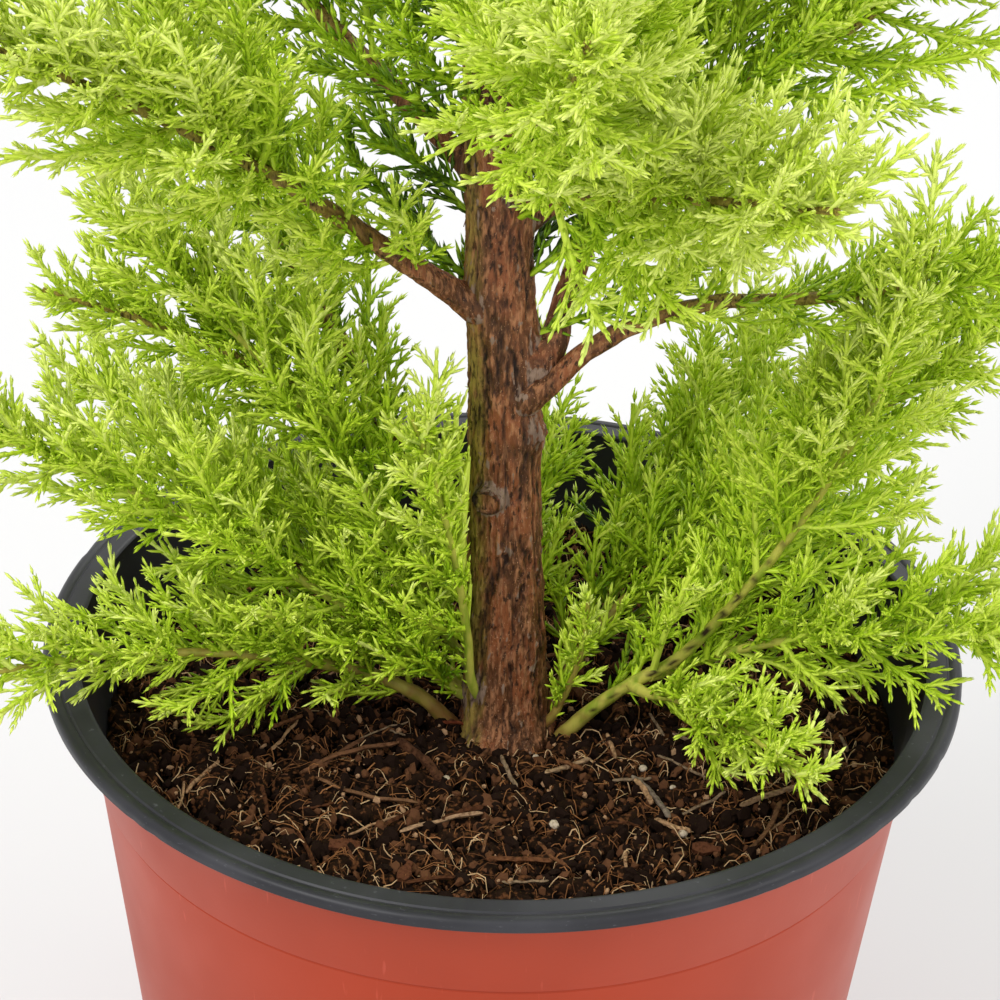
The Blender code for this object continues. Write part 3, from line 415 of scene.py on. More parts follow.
class SoilSettings(bpy.types.PropertyGroup):
    """Looks of the potting mix."""

    relief: FloatProperty(name="Relief", description="Height of the clods of the mix",
                          default=1.9 * MM, unit="LENGTH")
    crumbs: IntProperty(name="Crumbs", description="Loose crumbs for each square centimetre",
                        default=20)
    fibres: IntProperty(name="Fibres", description="Loose fibres on the mix", default=3400)
    colour: FloatVectorProperty(name="Mix", description="Colour of the moist peat",
                                subtype="COLOR", size=3, default=linear((42, 27, 17)))
    fibre_colour: FloatVectorProperty(name="Fibres", description="Colour of the fibres",
                                      subtype="COLOR", size=3, default=linear((154, 104, 64)))


class BarkSettings(bpy.types.PropertyGroup):
    """Looks of the trunk and the boughs."""

    relief: FloatProperty(name="Relief", description="Depth of the cracks of the bark",
                          default=0.5 * MM, unit="LENGTH")
    # Painted shade: this colour darkens the cracks and grooves of the bark where the relief number
    # is low, and also the dark ring round the cut disc.
    dark: FloatVectorProperty(name="Cracks", description="Colour in the cracks of the bark",
                              subtype="COLOR", size=3, default=linear((30, 15, 8)))
    light: FloatVectorProperty(name="Ridges", description="Colour of the ridges of the bark",
                               subtype="COLOR", size=3, default=linear((176, 120, 82)))


class FoliageSettings(bpy.types.PropertyGroup):
    """Sizes of the needles and their shoots."""

    needle_size: FloatProperty(name="Needle size", description="Length of all needles, as a factor",
                               default=1.0, min=0.5, max=2.0)
    needle_width: FloatProperty(name="Needle width", description="Width of a needle",
                                default=0.59 * MM, unit="LENGTH")
    needle_bend: FloatProperty(name="Needle bend", description="How far a needle curves forwards",
                               default=0.16)
    shoot_width: FloatProperty(name="Shoot width", description="Thickness of shoots, as a factor",
                               default=1.0)


class StageSettings(bpy.types.PropertyGroup):
    """Floor, light and camera."""

    floor_colour: FloatVectorProperty(name="Floor", description="Colour of the floor",
                                      subtype="COLOR", size=3, default=(0.7, 0.7, 0.7))
    surround: FloatProperty(name="Surround", description="Strength of the pale surround",
                            default=0.95)
    lens: FloatProperty(name="Lens", description="Focal length in millimetres", default=123.44)


def mesh_from(name, points, faces=(), edges=(), values=None):
    """Makes a mesh from arrays, with named numbers or directions kept for each point."""
    mesh = bpy.data.meshes.new(name)
    mesh.from_pydata(points, edges, faces)
    for label, numbers in (values or {}).items():
        numbers = np.asarray(numbers, dtype=np.float32)
        if numbers.ndim == 1:
            mesh.attributes.new(label, "FLOAT", "POINT").data.foreach_set("value", numbers)
        else:
            made = mesh.attributes.new(label, "FLOAT_VECTOR", "POINT")
            made.data.foreach_set("vector", numbers.ravel())
    return mesh


def object_from(name, mesh):
    """Links a mesh into the scene as an object at the origin."""
    made = bpy.data.objects.new(name, mesh)
    bpy.context.scene.collection.objects.link(made)
    return made


def plain(owner, name):
    """Turns an object with modifiers into a plain mesh object without named numbers."""
    bpy.context.view_layer.update()
    depsgraph = bpy.context.evaluated_depsgraph_get()
    mesh = bpy.data.meshes.new_from_object(owner.evaluated_get(depsgraph), depsgraph=depsgraph)
    old = owner.data
    bpy.data.objects.remove(owner, do_unlink=True)
    if old.users == 0:
        bpy.data.meshes.remove(old)
    for label in [item.name for item in mesh.attributes]:
        found = mesh.attributes.get(label)
        if found and not found.is_internal and not found.is_required:
            if label not in ("sharp_face", "sharp_edge", "material_index"):
                mesh.attributes.remove(found)
    mesh.name = name
    return object_from(name, mesh)


def finished(piece, nodes=()):
    """Lets a piece ride on the one body and stand for its solids."""
    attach(piece, "root")
    if nodes:
        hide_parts(*nodes)
    return piece


def add_node(tree, kind, entries=None, **options):
    """Adds a node; entries gives its inputs constants or the sockets that feed them."""
    node = tree.nodes.new(kind)
    for label, value in options.items():
        setattr(node, label, value)
    for entry, value in (entries or {}).items():
        if isinstance(value, bpy.types.NodeSocket):
            tree.links.new(value, node.inputs[entry])
        else:
            node.inputs[entry].default_value = value
    return node


def add_maths(tree, operation, *values):
    """Adds a Math node and returns its result."""
    return add_node(tree, "ShaderNodeMath", dict(enumerate(values)), operation=operation).outputs[0]


def shader_of(name, colour, roughness, shine=0.25):
    """A material with one Principled shader in a constant colour."""
    made = bpy.data.materials.new(name)
    made.use_nodes = True
    shader = made.node_tree.nodes["Principled BSDF"]
    shader.inputs["Base Color"].default_value = (*colour, 1.0)
    shader.inputs["Roughness"].default_value = roughness
    shader.inputs["Specular IOR Level"].default_value = shine
    made.diffuse_color = (*colour, 1.0)
    return made, made.node_tree, shader


def grain_group():
    """Shader group for grain: a noise stretched along Z, as a mask and as a height."""
    found = bpy.data.node_groups.get("grain")
    if found:
        return found
    tree = bpy.data.node_groups.new("grain", "ShaderNodeTree")
    for label, default in (("Scale", 400.0), ("Stretch", 1.0), ("Detail", 4.0), ("Low", 0.35),
                           ("High", 0.65)):
        socket = tree.interface.new_socket(label, in_out="INPUT", socket_type="NodeSocketFloat")
        socket.default_value = default
    for label in ("Mask", "Height"):
        tree.interface.new_socket(label, in_out="OUTPUT", socket_type="NodeSocketFloat")
    given = tree.nodes.new("NodeGroupInput").outputs
    place = tree.nodes.new("ShaderNodeTexCoord")
    flatter = add_maths(tree, "DIVIDE", 1.0, given["Stretch"])
    combine = add_node(tree, "ShaderNodeCombineXYZ", {0: 1.0, 1: 1.0, 2: flatter})
    scaled = add_node(tree, "ShaderNodeVectorMath",
                      {0: place.outputs["Object"], 1: combine.outputs[0]}, operation="MULTIPLY")
    cloud = add_node(tree, "ShaderNodeTexNoise", {
        "Vector": scaled.outputs[0], "Scale": given["Scale"], "Detail": given["Detail"]})
    ranged = add_node(tree, "ShaderNodeMapRange", {
        "Value": cloud.outputs[0], "From Min": given["Low"], "From Max": given["High"]},
        interpolation_type="SMOOTHSTEP")
    add_node(tree, "NodeGroupOutput", {"Mask": ranged.outputs[0], "Height": cloud.outputs[0]})
    return tree


def add_grain(tree, scale, stretch=1.0, detail=4.0, low=0.35, high=0.65):
    """Places the grain group in a material and returns its mask and its height."""
    node = add_node(tree, "ShaderNodeGroup", node_tree=grain_group())
    for label, value in (("Scale", scale), ("Stretch", stretch), ("Detail", detail), ("Low", low),
                         ("High", high)):
        node.inputs[label].default_value = value
    return node.outputs["Mask"], node.outputs["Height"]


def add_mix(tree, mask, first, second):
    """Mixes two colours, each a constant or a socket, by a mask and returns the colour."""
    pair = [value if isinstance(value, bpy.types.NodeSocket) else (*value, 1.0)
            for value in (first, second)]
    return add_node(tree, "ShaderNodeMix", {0: mask, 6: pair[0], 7: pair[1]},
                    data_type="RGBA").outputs[2]


def add_range(tree, value, low, high, to_low, to_high):
    """Maps a varying number from one range to another and returns it."""
    return add_node(tree, "ShaderNodeMapRange", {
        "Value": value, "From Min": low, "From Max": high, "To Min": to_low,
        "To Max": to_high}).outputs[0]


def add_number(tree, label):
    """Reads a number kept for each point of a piece."""
    return add_node(tree, "ShaderNodeAttribute", attribute_name=label).outputs["Fac"]


def dress(tree, shader, colour, height, strength, depth):
    """Gives a shader its varying colour and a fine relief of the given depth in metres."""
    tree.links.new(colour, shader.inputs["Base Color"])
    bump = add_node(tree, "ShaderNodeBump", {"Strength": strength, "Distance": depth,
                                             "Height": height})
    tree.links.new(bump.outputs[0], shader.inputs["Normal"])


def plastic_material(name, colour):
    """Satin plastic with faint clouds and fine scuffs."""
    base = tuple(colour)
    looks = PLASTICS[name]
    made, tree, shader = shader_of(name, base, *looks["satin"])
    clouds, height = add_grain(tree, *looks["clouds"])
    factor, more = looks["clouded"]
    tone = add_mix(tree, clouds, base, tuple(value * factor + more for value in base))
    scuffs, _ = add_grain(tree, *looks["scuffs"])
    factor, more = looks["scuffed"]
    worn = add_mix(tree, scuffs, tone, tuple(min(1.0, value * factor + more) for value in base))
    tree.links.new(add_range(tree, height, 0.3, 0.7, *looks["dulls"]), shader.inputs["Roughness"])
    dress(tree, shader, worn, add_grain(tree, *looks["fine"])[1], *looks["relief"])
    return made


def soil_material(settings):
    """Moist dark peat with painted shade: nearly black in its hollows and pits, lighter on its
    raised crumbs.
    """
    base = tuple(settings.colour)
    made, tree, shader = shader_of("peat", base, 0.9, 0.06)
    # Painted shade: the hollows and pits of the mix are coloured nearly black, and the raised clods
    # keep the peat's colour.
    tone = add_mix(tree, add_number(tree, "relief"), tuple(value * 0.05 for value in base), base)
    grains, height = add_grain(tree, 900.0, 1.0, 5.0, 0.5, 0.7)
    dress(tree, shader, add_mix(tree, grains, tone, linear((104, 66, 40))), height, 0.7, 0.0006)
    return made


def bark_material(settings):
    """Reddish-brown stringy bark: darkened in its cracks by painted shade, grey where paper-thin
    skin hangs on.
    """
    light = tuple(settings.light)
    made, tree, shader = shader_of("stringy_bark", light, 0.68, 0.3)
    broad, _ = add_grain(tree, 190.0, 2.5, 4.0, 0.42, 0.6)
    strings, height = add_grain(tree, 1300.0, 4.0, 6.0, 0.46, 0.66)
    pits, _ = add_grain(tree, 1450.0, 3.0, 6.0, 0.52, 0.68)
    flecks, _ = add_grain(tree, 3600.0, 1.6, 4.0, 0.62, 0.7)
    bark = add_mix(tree, broad, linear((144, 84, 50)), linear((98, 60, 34)))
    bark = add_mix(tree, strings, bark, light)
    bark = add_mix(tree, pits, bark, linear((62, 36, 20)))
    bark = add_mix(tree, flecks, bark, linear((186, 140, 104)))
    moss = add_mix(tree, pits, linear((170, 148, 70)), linear((84, 68, 28)))
    bark = add_mix(tree, add_number(tree, "green"), bark, moss)
    edge = add_maths(tree, "MULTIPLY_ADD", height, 1.5, add_number(tree, "grey"))
    sheet = add_range(tree, edge, 1.22, 1.34, 0.0, 1.0)
    paper = add_mix(tree, pits, linear((150, 124, 106)), linear((70, 48, 36)))
    bark = add_mix(tree, sheet, bark, paper)
    # Painted shade: where the relief number is low, in cracks and grooves, the bark turns towards
    # the crack colour.
    bark = add_mix(tree, add_number(tree, "relief"), tuple(settings.dark), bark)
    tree.links.new(add_range(tree, height, 0.3, 0.7, 0.42, 0.8), shader.inputs["Roughness"])
    dress(tree, shader, bark, height, 1.0, 0.0009)
    return made


def green_bark_material():
    """Yellow-green bark of a young stem with dark brown scars."""
    made, tree, shader = shader_of("young_bark", linear((196, 196, 90)), 0.5)
    streaks, height = add_grain(tree, 500.0, 3.0, 4.0, 0.4, 0.7)
    tone = add_mix(tree, streaks, linear((196, 192, 84)), linear((142, 164, 44)))
    aged = add_mix(tree, add_number(tree, "brown"), tone, linear((140, 100, 54)))
    scarred = add_mix(tree, add_number(tree, "scar"), aged, linear((46, 30, 14)))
    dress(tree, shader, scarred, height, 0.35, 0.0003)
    return made


def new_tree(name, entries):
    """An empty geometry tree with its geometry sockets and named inputs, and those inputs."""
    tree = bpy.data.node_groups.new(name, "GeometryNodeTree")
    tree.interface.new_socket("Geometry", in_out="INPUT", socket_type="NodeSocketGeometry")
    for label, kind, default in (*entries, ("Material", "Material", None)):
        socket = tree.interface.new_socket(label, in_out="INPUT", socket_type=f"NodeSocket{kind}")
        if default is not None:
            socket.default_value = default
    tree.interface.new_socket("Geometry", in_out="OUTPUT", socket_type="NodeSocketGeometry")
    return tree, tree.nodes.new("NodeGroupInput").outputs


def closing(tree, given, last, round_faces=True):
    """Ends a tree in smooth or flat shading, Realize Instances and Set Material."""
    smooth = add_node(tree, "GeometryNodeSetShadeSmooth", {
        "Geometry": last.outputs[0], "Shade Smooth": round_faces})
    real = add_node(tree, "GeometryNodeRealizeInstances", {"Geometry": smooth.outputs[0]})
    coat = add_node(tree, "GeometryNodeSetMaterial", {
        "Geometry": real.outputs[0], "Material": given["Material"]})
    add_node(tree, "NodeGroupOutput", {"Geometry": coat.outputs[0]})
    return tree


def named_number(tree, label, kind="FLOAT"):
    """Reads a named attribute in a geometry tree."""
    return add_node(tree, "GeometryNodeInputNamedAttribute", {"Name": label},
                    data_type=kind).outputs[0]


def tube_tree():
    """Round tubes along edge paths, as thick as each point's number says."""
    tree, given = new_tree("tubes_on_paths", (("Sides", "Int", 3), ("Thickness", "Float", 1.0)))
    curves = add_node(tree, "GeometryNodeMeshToCurve", {0: given["Geometry"]})
    thick = add_maths(tree, "MULTIPLY", named_number(tree, "thickness"), given["Thickness"])
    circle = add_node(tree, "GeometryNodeCurvePrimitiveCircle", {
        "Resolution": given["Sides"], "Radius": 1.0}, mode="RADIUS")
    swept = add_node(tree, "GeometryNodeCurveToMesh", {
        "Curve": curves.outputs[0], "Profile Curve": circle.outputs[0], "Scale": thick,
        "Fill Caps": True})
    return closing(tree, given, swept)


def needle_tree(blunt):
    """A needle on every point, turned along its aim and bent towards its side."""
    tree, given = new_tree("blunt_needles" if blunt else "slim_needles", (
        ("Length", "Float", 1.0), ("Width", "Float", 1.0), ("Bend", "Float", 0.15)))
    length = given["Length"]
    radius = add_maths(tree, "MULTIPLY", given["Width"], 0.5)
    lower = add_maths(tree, "MULTIPLY", length, NEEDLE_SHOULDER if blunt else NEEDLE_BELLY)
    upper = add_maths(tree, "SUBTRACT", length, lower)
    above = add_maths(tree, "MULTIPLY", radius, NEEDLE_NARROWS) if blunt else radius
    foot = add_node(tree, "GeometryNodeMeshCone", {
        "Vertices": NEEDLE_SIDES, "Radius Bottom": radius if blunt else 0.0, "Radius Top": above,
        "Depth": lower}, fill_type="NGON" if blunt else "NONE")
    tip = add_node(tree, "GeometryNodeMeshCone", {
        "Vertices": NEEDLE_SIDES, "Radius Bottom": above, "Radius Top": 0.0, "Depth": upper},
        fill_type="NONE")
    if blunt:
        foot = add_node(tree, "GeometryNodeDeleteGeometry", {
            "Geometry": foot.outputs["Mesh"], "Selection": foot.outputs["Top"]}, domain="FACE")
    lift = add_node(tree, "ShaderNodeCombineXYZ", {2: lower})
    raised = add_node(tree, "GeometryNodeTransform", {
        "Geometry": tip.outputs["Mesh"], "Translation": lift.outputs[0]})
    join = add_node(tree, "GeometryNodeJoinGeometry", {0: foot.outputs[0]})
    tree.links.new(raised.outputs[0], join.inputs[0])
    merged = add_node(tree, "GeometryNodeMergeByDistance", {
        "Geometry": join.outputs[0], "Distance": 1e-5})
    place = tree.nodes.new("GeometryNodeInputPosition")
    parts = add_node(tree, "ShaderNodeSeparateXYZ", {0: place.outputs[0]})
    share = add_maths(tree, "DIVIDE", parts.outputs[2], length)
    bent = add_maths(tree, "MULTIPLY", add_maths(tree, "MULTIPLY", share, share), given["Bend"])
    aside = add_node(tree, "ShaderNodeCombineXYZ", {0: bent})
    shaped = add_node(tree, "GeometryNodeSetPosition", {
        "Geometry": merged.outputs[0], "Offset": aside.outputs[0]})
    facing = add_node(tree, "FunctionNodeAxesToRotation", {
        0: named_number(tree, "aim", "FLOAT_VECTOR"), 1: named_number(tree, "side", "FLOAT_VECTOR"),
    }, primary_axis="Z", secondary_axis="X")
    spread = add_node(tree, "GeometryNodeInstanceOnPoints", {
        "Points": given["Geometry"], "Instance": shaped.outputs[0], "Rotation": facing.outputs[0],
        "Scale": named_number(tree, "grow", "FLOAT_VECTOR")})
    return closing(tree, given, spread)


def crumb_tree():
    """Rough crumbs strewn over the upward faces of a surface."""
    tree, given = new_tree("crumbs_on_mix", (
        ("Density", "Float", 400000.0), ("Smallest", "Float", 0.0003),
        ("Largest", "Float", 0.0011), ("Roughness", "Float", 0.35), ("Seed", "Int", 1)))
    normal = tree.nodes.new("GeometryNodeInputNormal")
    parts = add_node(tree, "ShaderNodeSeparateXYZ", {0: normal.outputs[0]})
    upward = add_node(tree, "FunctionNodeCompare", {0: parts.outputs[2], 1: 0.3},
                      data_type="FLOAT", operation="GREATER_THAN")
    strewn = add_node(tree, "GeometryNodeDistributePointsOnFaces", {
        "Mesh": given["Geometry"], "Density": given["Density"], "Seed": given["Seed"],
        "Selection": upward.outputs[0]})
    ball = add_node(tree, "GeometryNodeMeshIcoSphere", {"Radius": 1.0, "Subdivisions": 1})
    rough = add_node(tree, "ShaderNodeTexNoise", {"Scale": 1.7})
    centred = add_node(tree, "ShaderNodeVectorMath",
                       {0: rough.outputs["Color"], 1: (0.5, 0.5, 0.5)}, operation="SUBTRACT")
    scaled = add_node(tree, "ShaderNodeVectorMath",
                      {0: centred.outputs[0], "Scale": given["Roughness"]}, operation="SCALE")
    uneven = add_node(tree, "GeometryNodeSetPosition", {
        "Geometry": ball.outputs["Mesh"], "Offset": scaled.outputs[0]})

    def draw(kind, low, high, more):
        """A random value between two others, more being added to the seed."""
        seed = add_maths(tree, "ADD", given["Seed"], more)
        first = 0 if kind == "FLOAT_VECTOR" else 2
        return add_node(tree, "FunctionNodeRandomValue",
                        {"Seed": seed, first: low, first + 1: high}, data_type=kind).outputs

    turns = draw("FLOAT_VECTOR", (0.0, 0.0, 0.0), (6.28, 6.28, 6.28), 11.0)[0]
    size = draw("FLOAT", given["Smallest"], given["Largest"], 23.0)[1]
    shape = draw("FLOAT_VECTOR", (0.6, 0.5, 0.4), (1.5, 1.0, 0.8), 37.0)[0]
    sized = add_node(tree, "ShaderNodeVectorMath", {0: shape, "Scale": size}, operation="SCALE")
    spread = add_node(tree, "GeometryNodeInstanceOnPoints", {
        "Points": strewn.outputs["Points"], "Instance": uneven.outputs[0], "Rotation": turns,
        "Scale": sized.outputs[0]})
    return closing(tree, given, spread, False)


TREES = {
    "tubes": tube_tree,
    "blunt": lambda: needle_tree(True),
    "slim": lambda: needle_tree(False),
    "crumbs": crumb_tree,
}


def grown(owner, kind, name, values):
    """Runs an object through one of the trees and returns the plain mesh object."""
    tree = bpy.data.node_groups.get(f"tree_{kind}")
    if tree is None:
        tree = TREES[kind]()
        tree.name = f"tree_{kind}"
    change = owner.modifiers.new(kind, "NODES")
    change.node_group = tree
    for item in tree.interface.items_tree:
        if item.item_type == "SOCKET" and item.in_out == "INPUT" and item.name in values:
            change[item.identifier] = values[item.name]
    return plain(owner, name)


def turned(outline, steps):
    """Points and faces of a closed body turned about Z, from (radius, height) pairs."""
    points, faces, rings = [], [], []
    for radius, height in outline:
        first = len(points)
        if radius <= 0.0:
            points.append((0.0, 0.0, height))
            rings.append([first] * steps)
            continue
        for index in range(steps):
            points.append((*polar(radius, math.tau * index / steps), height))
        rings.append(list(range(first, first + steps)))
    for lower, upper in zip(rings, rings[1:]):
        for index in range(steps):
            after = (index + 1) % steps
            corners = (lower[index], lower[after], upper[after], upper[index])
            faces.append(tuple(dict.fromkeys(corners)))
    return points, faces


def tidy_normals(mesh, angle=40.0):
    """Points all faces outwards and shades round faces smooth."""
    shape = bmesh.new()
    shape.from_mesh(mesh)
    bmesh.ops.recalc_face_normals(shape, faces=shape.faces)
    shape.to_mesh(mesh)
    shape.free()
    mesh.shade_smooth()
    mesh.set_sharp_from_angle(angle=math.radians(angle))


def smooth_path(points, count):
    """Evenly many points on a smooth line through the given ones."""
    path = [Vector(point) for point in points]
    steps = [(after - before).length for before, after in zip(path, path[1:])]
    slopes = [(path[1] - path[0]) / steps[0]]
    for index in range(1, len(path) - 1):
        before, after = steps[index - 1], steps[index]
        slopes.append(((path[index + 1] - path[index]) / after * before
                       + (path[index] - path[index - 1]) / before * after) / (before + after))
    slopes.append((path[-1] - path[-2]) / steps[-1])
    reached = np.concatenate(([0.0], np.cumsum(steps)))
    found = []
    for index in range(count + 1):
        place = reached[-1] * index / count
        part = int(np.clip(np.searchsorted(reached, place, side="right") - 1, 0, len(steps) - 1))
        size = steps[part]
        t = (place - reached[part]) / size
        found.append(path[part] * (2.0 * t ** 3 - 3.0 * t ** 2 + 1.0)
                     + slopes[part] * (size * (t ** 3 - 2.0 * t ** 2 + t))
                     + path[part + 1] * (3.0 * t ** 2 - 2.0 * t ** 3)
                     + slopes[part + 1] * (size * (t ** 3 - t ** 2)))
    return found


def length_of(path):
    """Length of a path of points."""
    return sum((second - first).length for first, second in zip(path, path[1:]))


class Surface:
    """Points, faces and numbers of several closed shapes that become one piece."""

    def __init__(self, *labels):
        self.points = []
        self.faces = []
        self.values = {label: [] for label in labels}

    def tube(self, path, skin_at, sides):
        """A closed tube; skin_at takes the share along it, the side's angle, the centre and the
        outward direction, and returns the radius and the numbers of that point."""
        normal = None
        first = len(self.points)
        last = len(path) - 1
        for index, centre in enumerate(path):
            axis = (path[min(index + 1, last)] - path[max(index - 1, 0)]).normalized()
            if normal is None:
                normal = axis.orthogonal()
            normal = (normal - axis * normal.dot(axis)).normalized()
            other = axis.cross(normal)
            for side in range(sides):
                turn = math.tau * side / sides
                out = normal * math.cos(turn) + other * math.sin(turn)
                radius, numbers = skin_at(index / last, turn, centre, out)
                self.points.append(centre + out * radius)
                self.keep(numbers)
        for ring in range(last):
            start = first + ring * sides
            for side in range(sides):
                after = (side + 1) % sides
                self.faces.append((start + side, start + after, start + sides + after,
                                   start + sides + side))
        for ring in (0, last):
            pole = len(self.points)
            start = first + ring * sides
            self.points.append(Vector(path[ring]))
            self.keep({label: values[start] for label, values in self.values.items()})
            for side in range(sides):
                corners = (start + side, start + (side + 1) % sides, pole)
                self.faces.append(corners if ring else corners[::-1])

    def keep(self, numbers):
        """Keeps the numbers of one point."""
        for label, value in numbers.items():
            self.values[label].append(value)

    def plate(self, centre, normal, along, length, width, thick, curl, numbers):
        """A thin closed plate with a ragged outline that curls away from its foot."""
        along = (along - normal * along.dot(normal)).normalized()
        across = normal.cross(along)
        first = len(self.points)
        rows, columns = 5, 3
        for face in (0, 1):
            for row in range(rows + 1):
                share = row / rows
                swell = math.sin(math.pi * min(1.0, share * 0.8 + 0.14))
                half = width * 0.5 * (0.35 + 0.65 * swell)
                spot = Vector((share * 3.0, length * 900.0, width * 700.0))
                half *= 0.8 + 0.4 * noise.noise(spot)
                lift = curl * share * share
                for column in range(columns + 1):
                    side = column / columns * 2.0 - 1.0
                    ragged = 0.12 * width * noise.noise(Vector((share * 7.0, side * 3.0,
                                                                width * 5000.0)))
                    place = centre + along * (length * (share - 0.5))
                    place += across * (half * side + ragged)
                    place += normal * (lift + face * thick - 0.06 * width * side * side)
                    self.points.append(place)
                    self.keep(numbers)
        count = (rows + 1) * (columns + 1)
        for row in range(rows):
            for column in range(columns):
                a = first + row * (columns + 1) + column
                b, c, d = a + 1, a + columns + 2, a + columns + 1
                self.faces.append((a, d, c, b))
                self.faces.append((a + count, b + count, c + count, d + count))
        ring = [first + column for column in range(columns + 1)]
        ring += [first + row * (columns + 1) + columns for row in range(1, rows + 1)]
        ring += [first + rows * (columns + 1) + column for column in range(columns - 1, -1, -1)]
        ring += [first + row * (columns + 1) for row in range(rows - 1, 0, -1)]
        for one, two in zip(ring, ring[1:] + ring[:1]):
            self.faces.append((one, two, two + count, one + count))

    def piece(self, name, material, angle=50.0):
        """Turns the collected shapes into one object."""
        mesh = mesh_from(name, self.points, self.faces, values=self.values)
        mesh.materials.append(material)
        tidy_normals(mesh, angle)
        return object_from(name, mesh)


class Paths:
    """Points, edges and thicknesses of many thin shoots or fibres."""

    def __init__(self):
        self.points = []
        self.edges = []
        self.thickness = []

    def add(self, path, foot, tip):
        """Adds one path that tapers evenly."""
        first = len(self.points)
        last = len(path) - 1
        for index, point in enumerate(path):
            self.points.append(point)
            self.thickness.append(foot + (tip - foot) * index / last)
            if index:
                self.edges.append((first + index - 1, first + index))

    def piece(self, name, material, sides=3, factor=1.0):
        """Turns the paths into one object of tubes."""
        mesh = mesh_from(name, self.points, edges=self.edges,
                         values={"thickness": self.thickness})
        return grown(object_from(name, mesh), "tubes", name,
                     {"Sides": sides, "Thickness": factor, "Material": material})


def trunk_point(height):
    """Centre of the trunk at a height above the mix."""
    sway = TRUNK_SWAY * math.sin(height / TRUNK_TOP * math.tau * 1.5)
    drift = TRUNK_FOOT_X + TRUNK_LEAN * height
    return Vector((drift + 0.6 * sway, sway, SOIL_LEVEL + height))


def trunk_radius(height):
    """Radius of the trunk at a height above the mix, with the flare at its foot."""
    share = min(1.0, height / TRUNK_TOP)
    shaft = mix(TRUNK_RADIUS, TRUNK_TIP_RADIUS, share ** 0.92)
    return shaft + TRUNK_FLARE * math.exp(-height / TRUNK_FLARE_HEIGHT)


def bent_path(start, azimuth, rise_foot, rise_tip, length, parts, turn=0.0):
    """Points of a limb that leaves start and slowly changes its rise and its azimuth."""
    points = [Vector(start)]
    for index in range(parts):
        share = index / (parts - 1)
        step = heading(azimuth + turn * share, mix(rise_foot, rise_tip, share))
        points.append(points[-1] + step * (length / parts))
    return points


def place_on(path, along):
    """Point and direction at a distance along a path."""
    left = along
    for first, second in zip(path, path[1:]):
        step = (second - first).length
        if left <= step:
            return first.lerp(second, left / step), (second - first).normalized()
        left -= step
    return path[-1].copy(), (path[-1] - path[-2]).normalized()


def off_the_side(centre, axis, radius, side, aim, own_radius):
    """Start of a limb that leaves one side of another along aim, a clear gap off its surface."""
    out = heading(side, 0.0)
    across = (out - axis * out.dot(axis)).normalized()
    extent = own_radius * math.sqrt(max(0.0, 1.0 - aim.dot(across) ** 2))
    return centre + across * (radius + GAP + extent)


class Limb:
    """A bough or a low stem: its points and its radii."""

    def __init__(self, name, path, radii):
        self.name = name
        self.path = path
        self.radii = radii

    def radius_at(self, along):
        """Radius at a distance along the limb."""
        return mix(self.radii[0], self.radii[-1], min(1.0, along / length_of(self.path)))


class Mass:
    """The stem of a mass of foliage and the numbers its growth needs."""

    def __init__(self, name, seed, path, foot_radius, reach):
        self.name = name
        self.seed = seed
        self.path = path
        self.foot_radius = foot_radius
        self.reach = reach
        self.length = length_of(path)


def plan_limbs():
    """Works out every bough and low stem."""
    limbs = {}
    for name, foot, side, azimuth, rise_foot, rise_tip, length, foot_radius, tip_radius in BOUGHS:
        aim = heading(azimuth, rise_foot)
        if foot is None:
            flat = heading(side, 0.0)
            start = trunk_point(0.0) + flat * (STEM_FOOT_RADIUS * MM) + Vector((0.0, 0.0, GAP))
        else:
            centre = trunk_point(foot * MM)
            start = off_the_side(centre, UP, trunk_radius(foot * MM), side, aim, foot_radius * MM)
        path = bent_path(start, azimuth, rise_foot, rise_tip, length * MM, 4)
        limbs[name] = Limb(name, path, (foot_radius * MM, tip_radius * MM))
    return limbs


def note_bare_lines(limbs, masses):
    """Notes the middle lines of the trunk and the right low stem where the picture shows them."""
    heights = [BARE_TRUNK * MM * index / 8.0 for index in range(9)]
    trunk = [trunk_point(height) for height in heights]
    mass = next(entry for entry in masses if entry.name == "foliage_low_right")
    stem = [*limbs["stem_low_right"].path, *mass.path[1:]]
    shown = [place_on(stem, BARE_STEM * MM * index / 8.0)[0] for index in range(9)]
    BARE_LINES[:] = [(trunk, BARE_TRUNK_WIDTH * MM), (shown, BARE_STEM_WIDTH * MM)]


def spiral_rows():
    """Rows for the upper boughs and masses, in the form the tables above have."""
    rows = []
    for index in range(SPIRAL_COUNT):
        share = index / (SPIRAL_COUNT - 1)
        draw = random.Random(500 + index)
        foot = mix(SPIRAL_FOOT, SPIRAL_TOP, share ** SPIRAL_CROWDING)
        azimuth = SPIRAL_AZIMUTH + index * GOLDEN_ANGLE + draw.uniform(-9.0, 9.0)
        rise = mix(SPIRAL_RISES[0], SPIRAL_RISES[1], share) + draw.uniform(-4.0, 4.0)
        length = mix(SPIRAL_LENGTHS[0], SPIRAL_LENGTHS[1], share) * draw.uniform(0.93, 1.07)
        reach = mix(SPIRAL_REACH[0], SPIRAL_REACH[1], share)
        rows.append((index, foot, azimuth, rise, length, reach))
    return rows


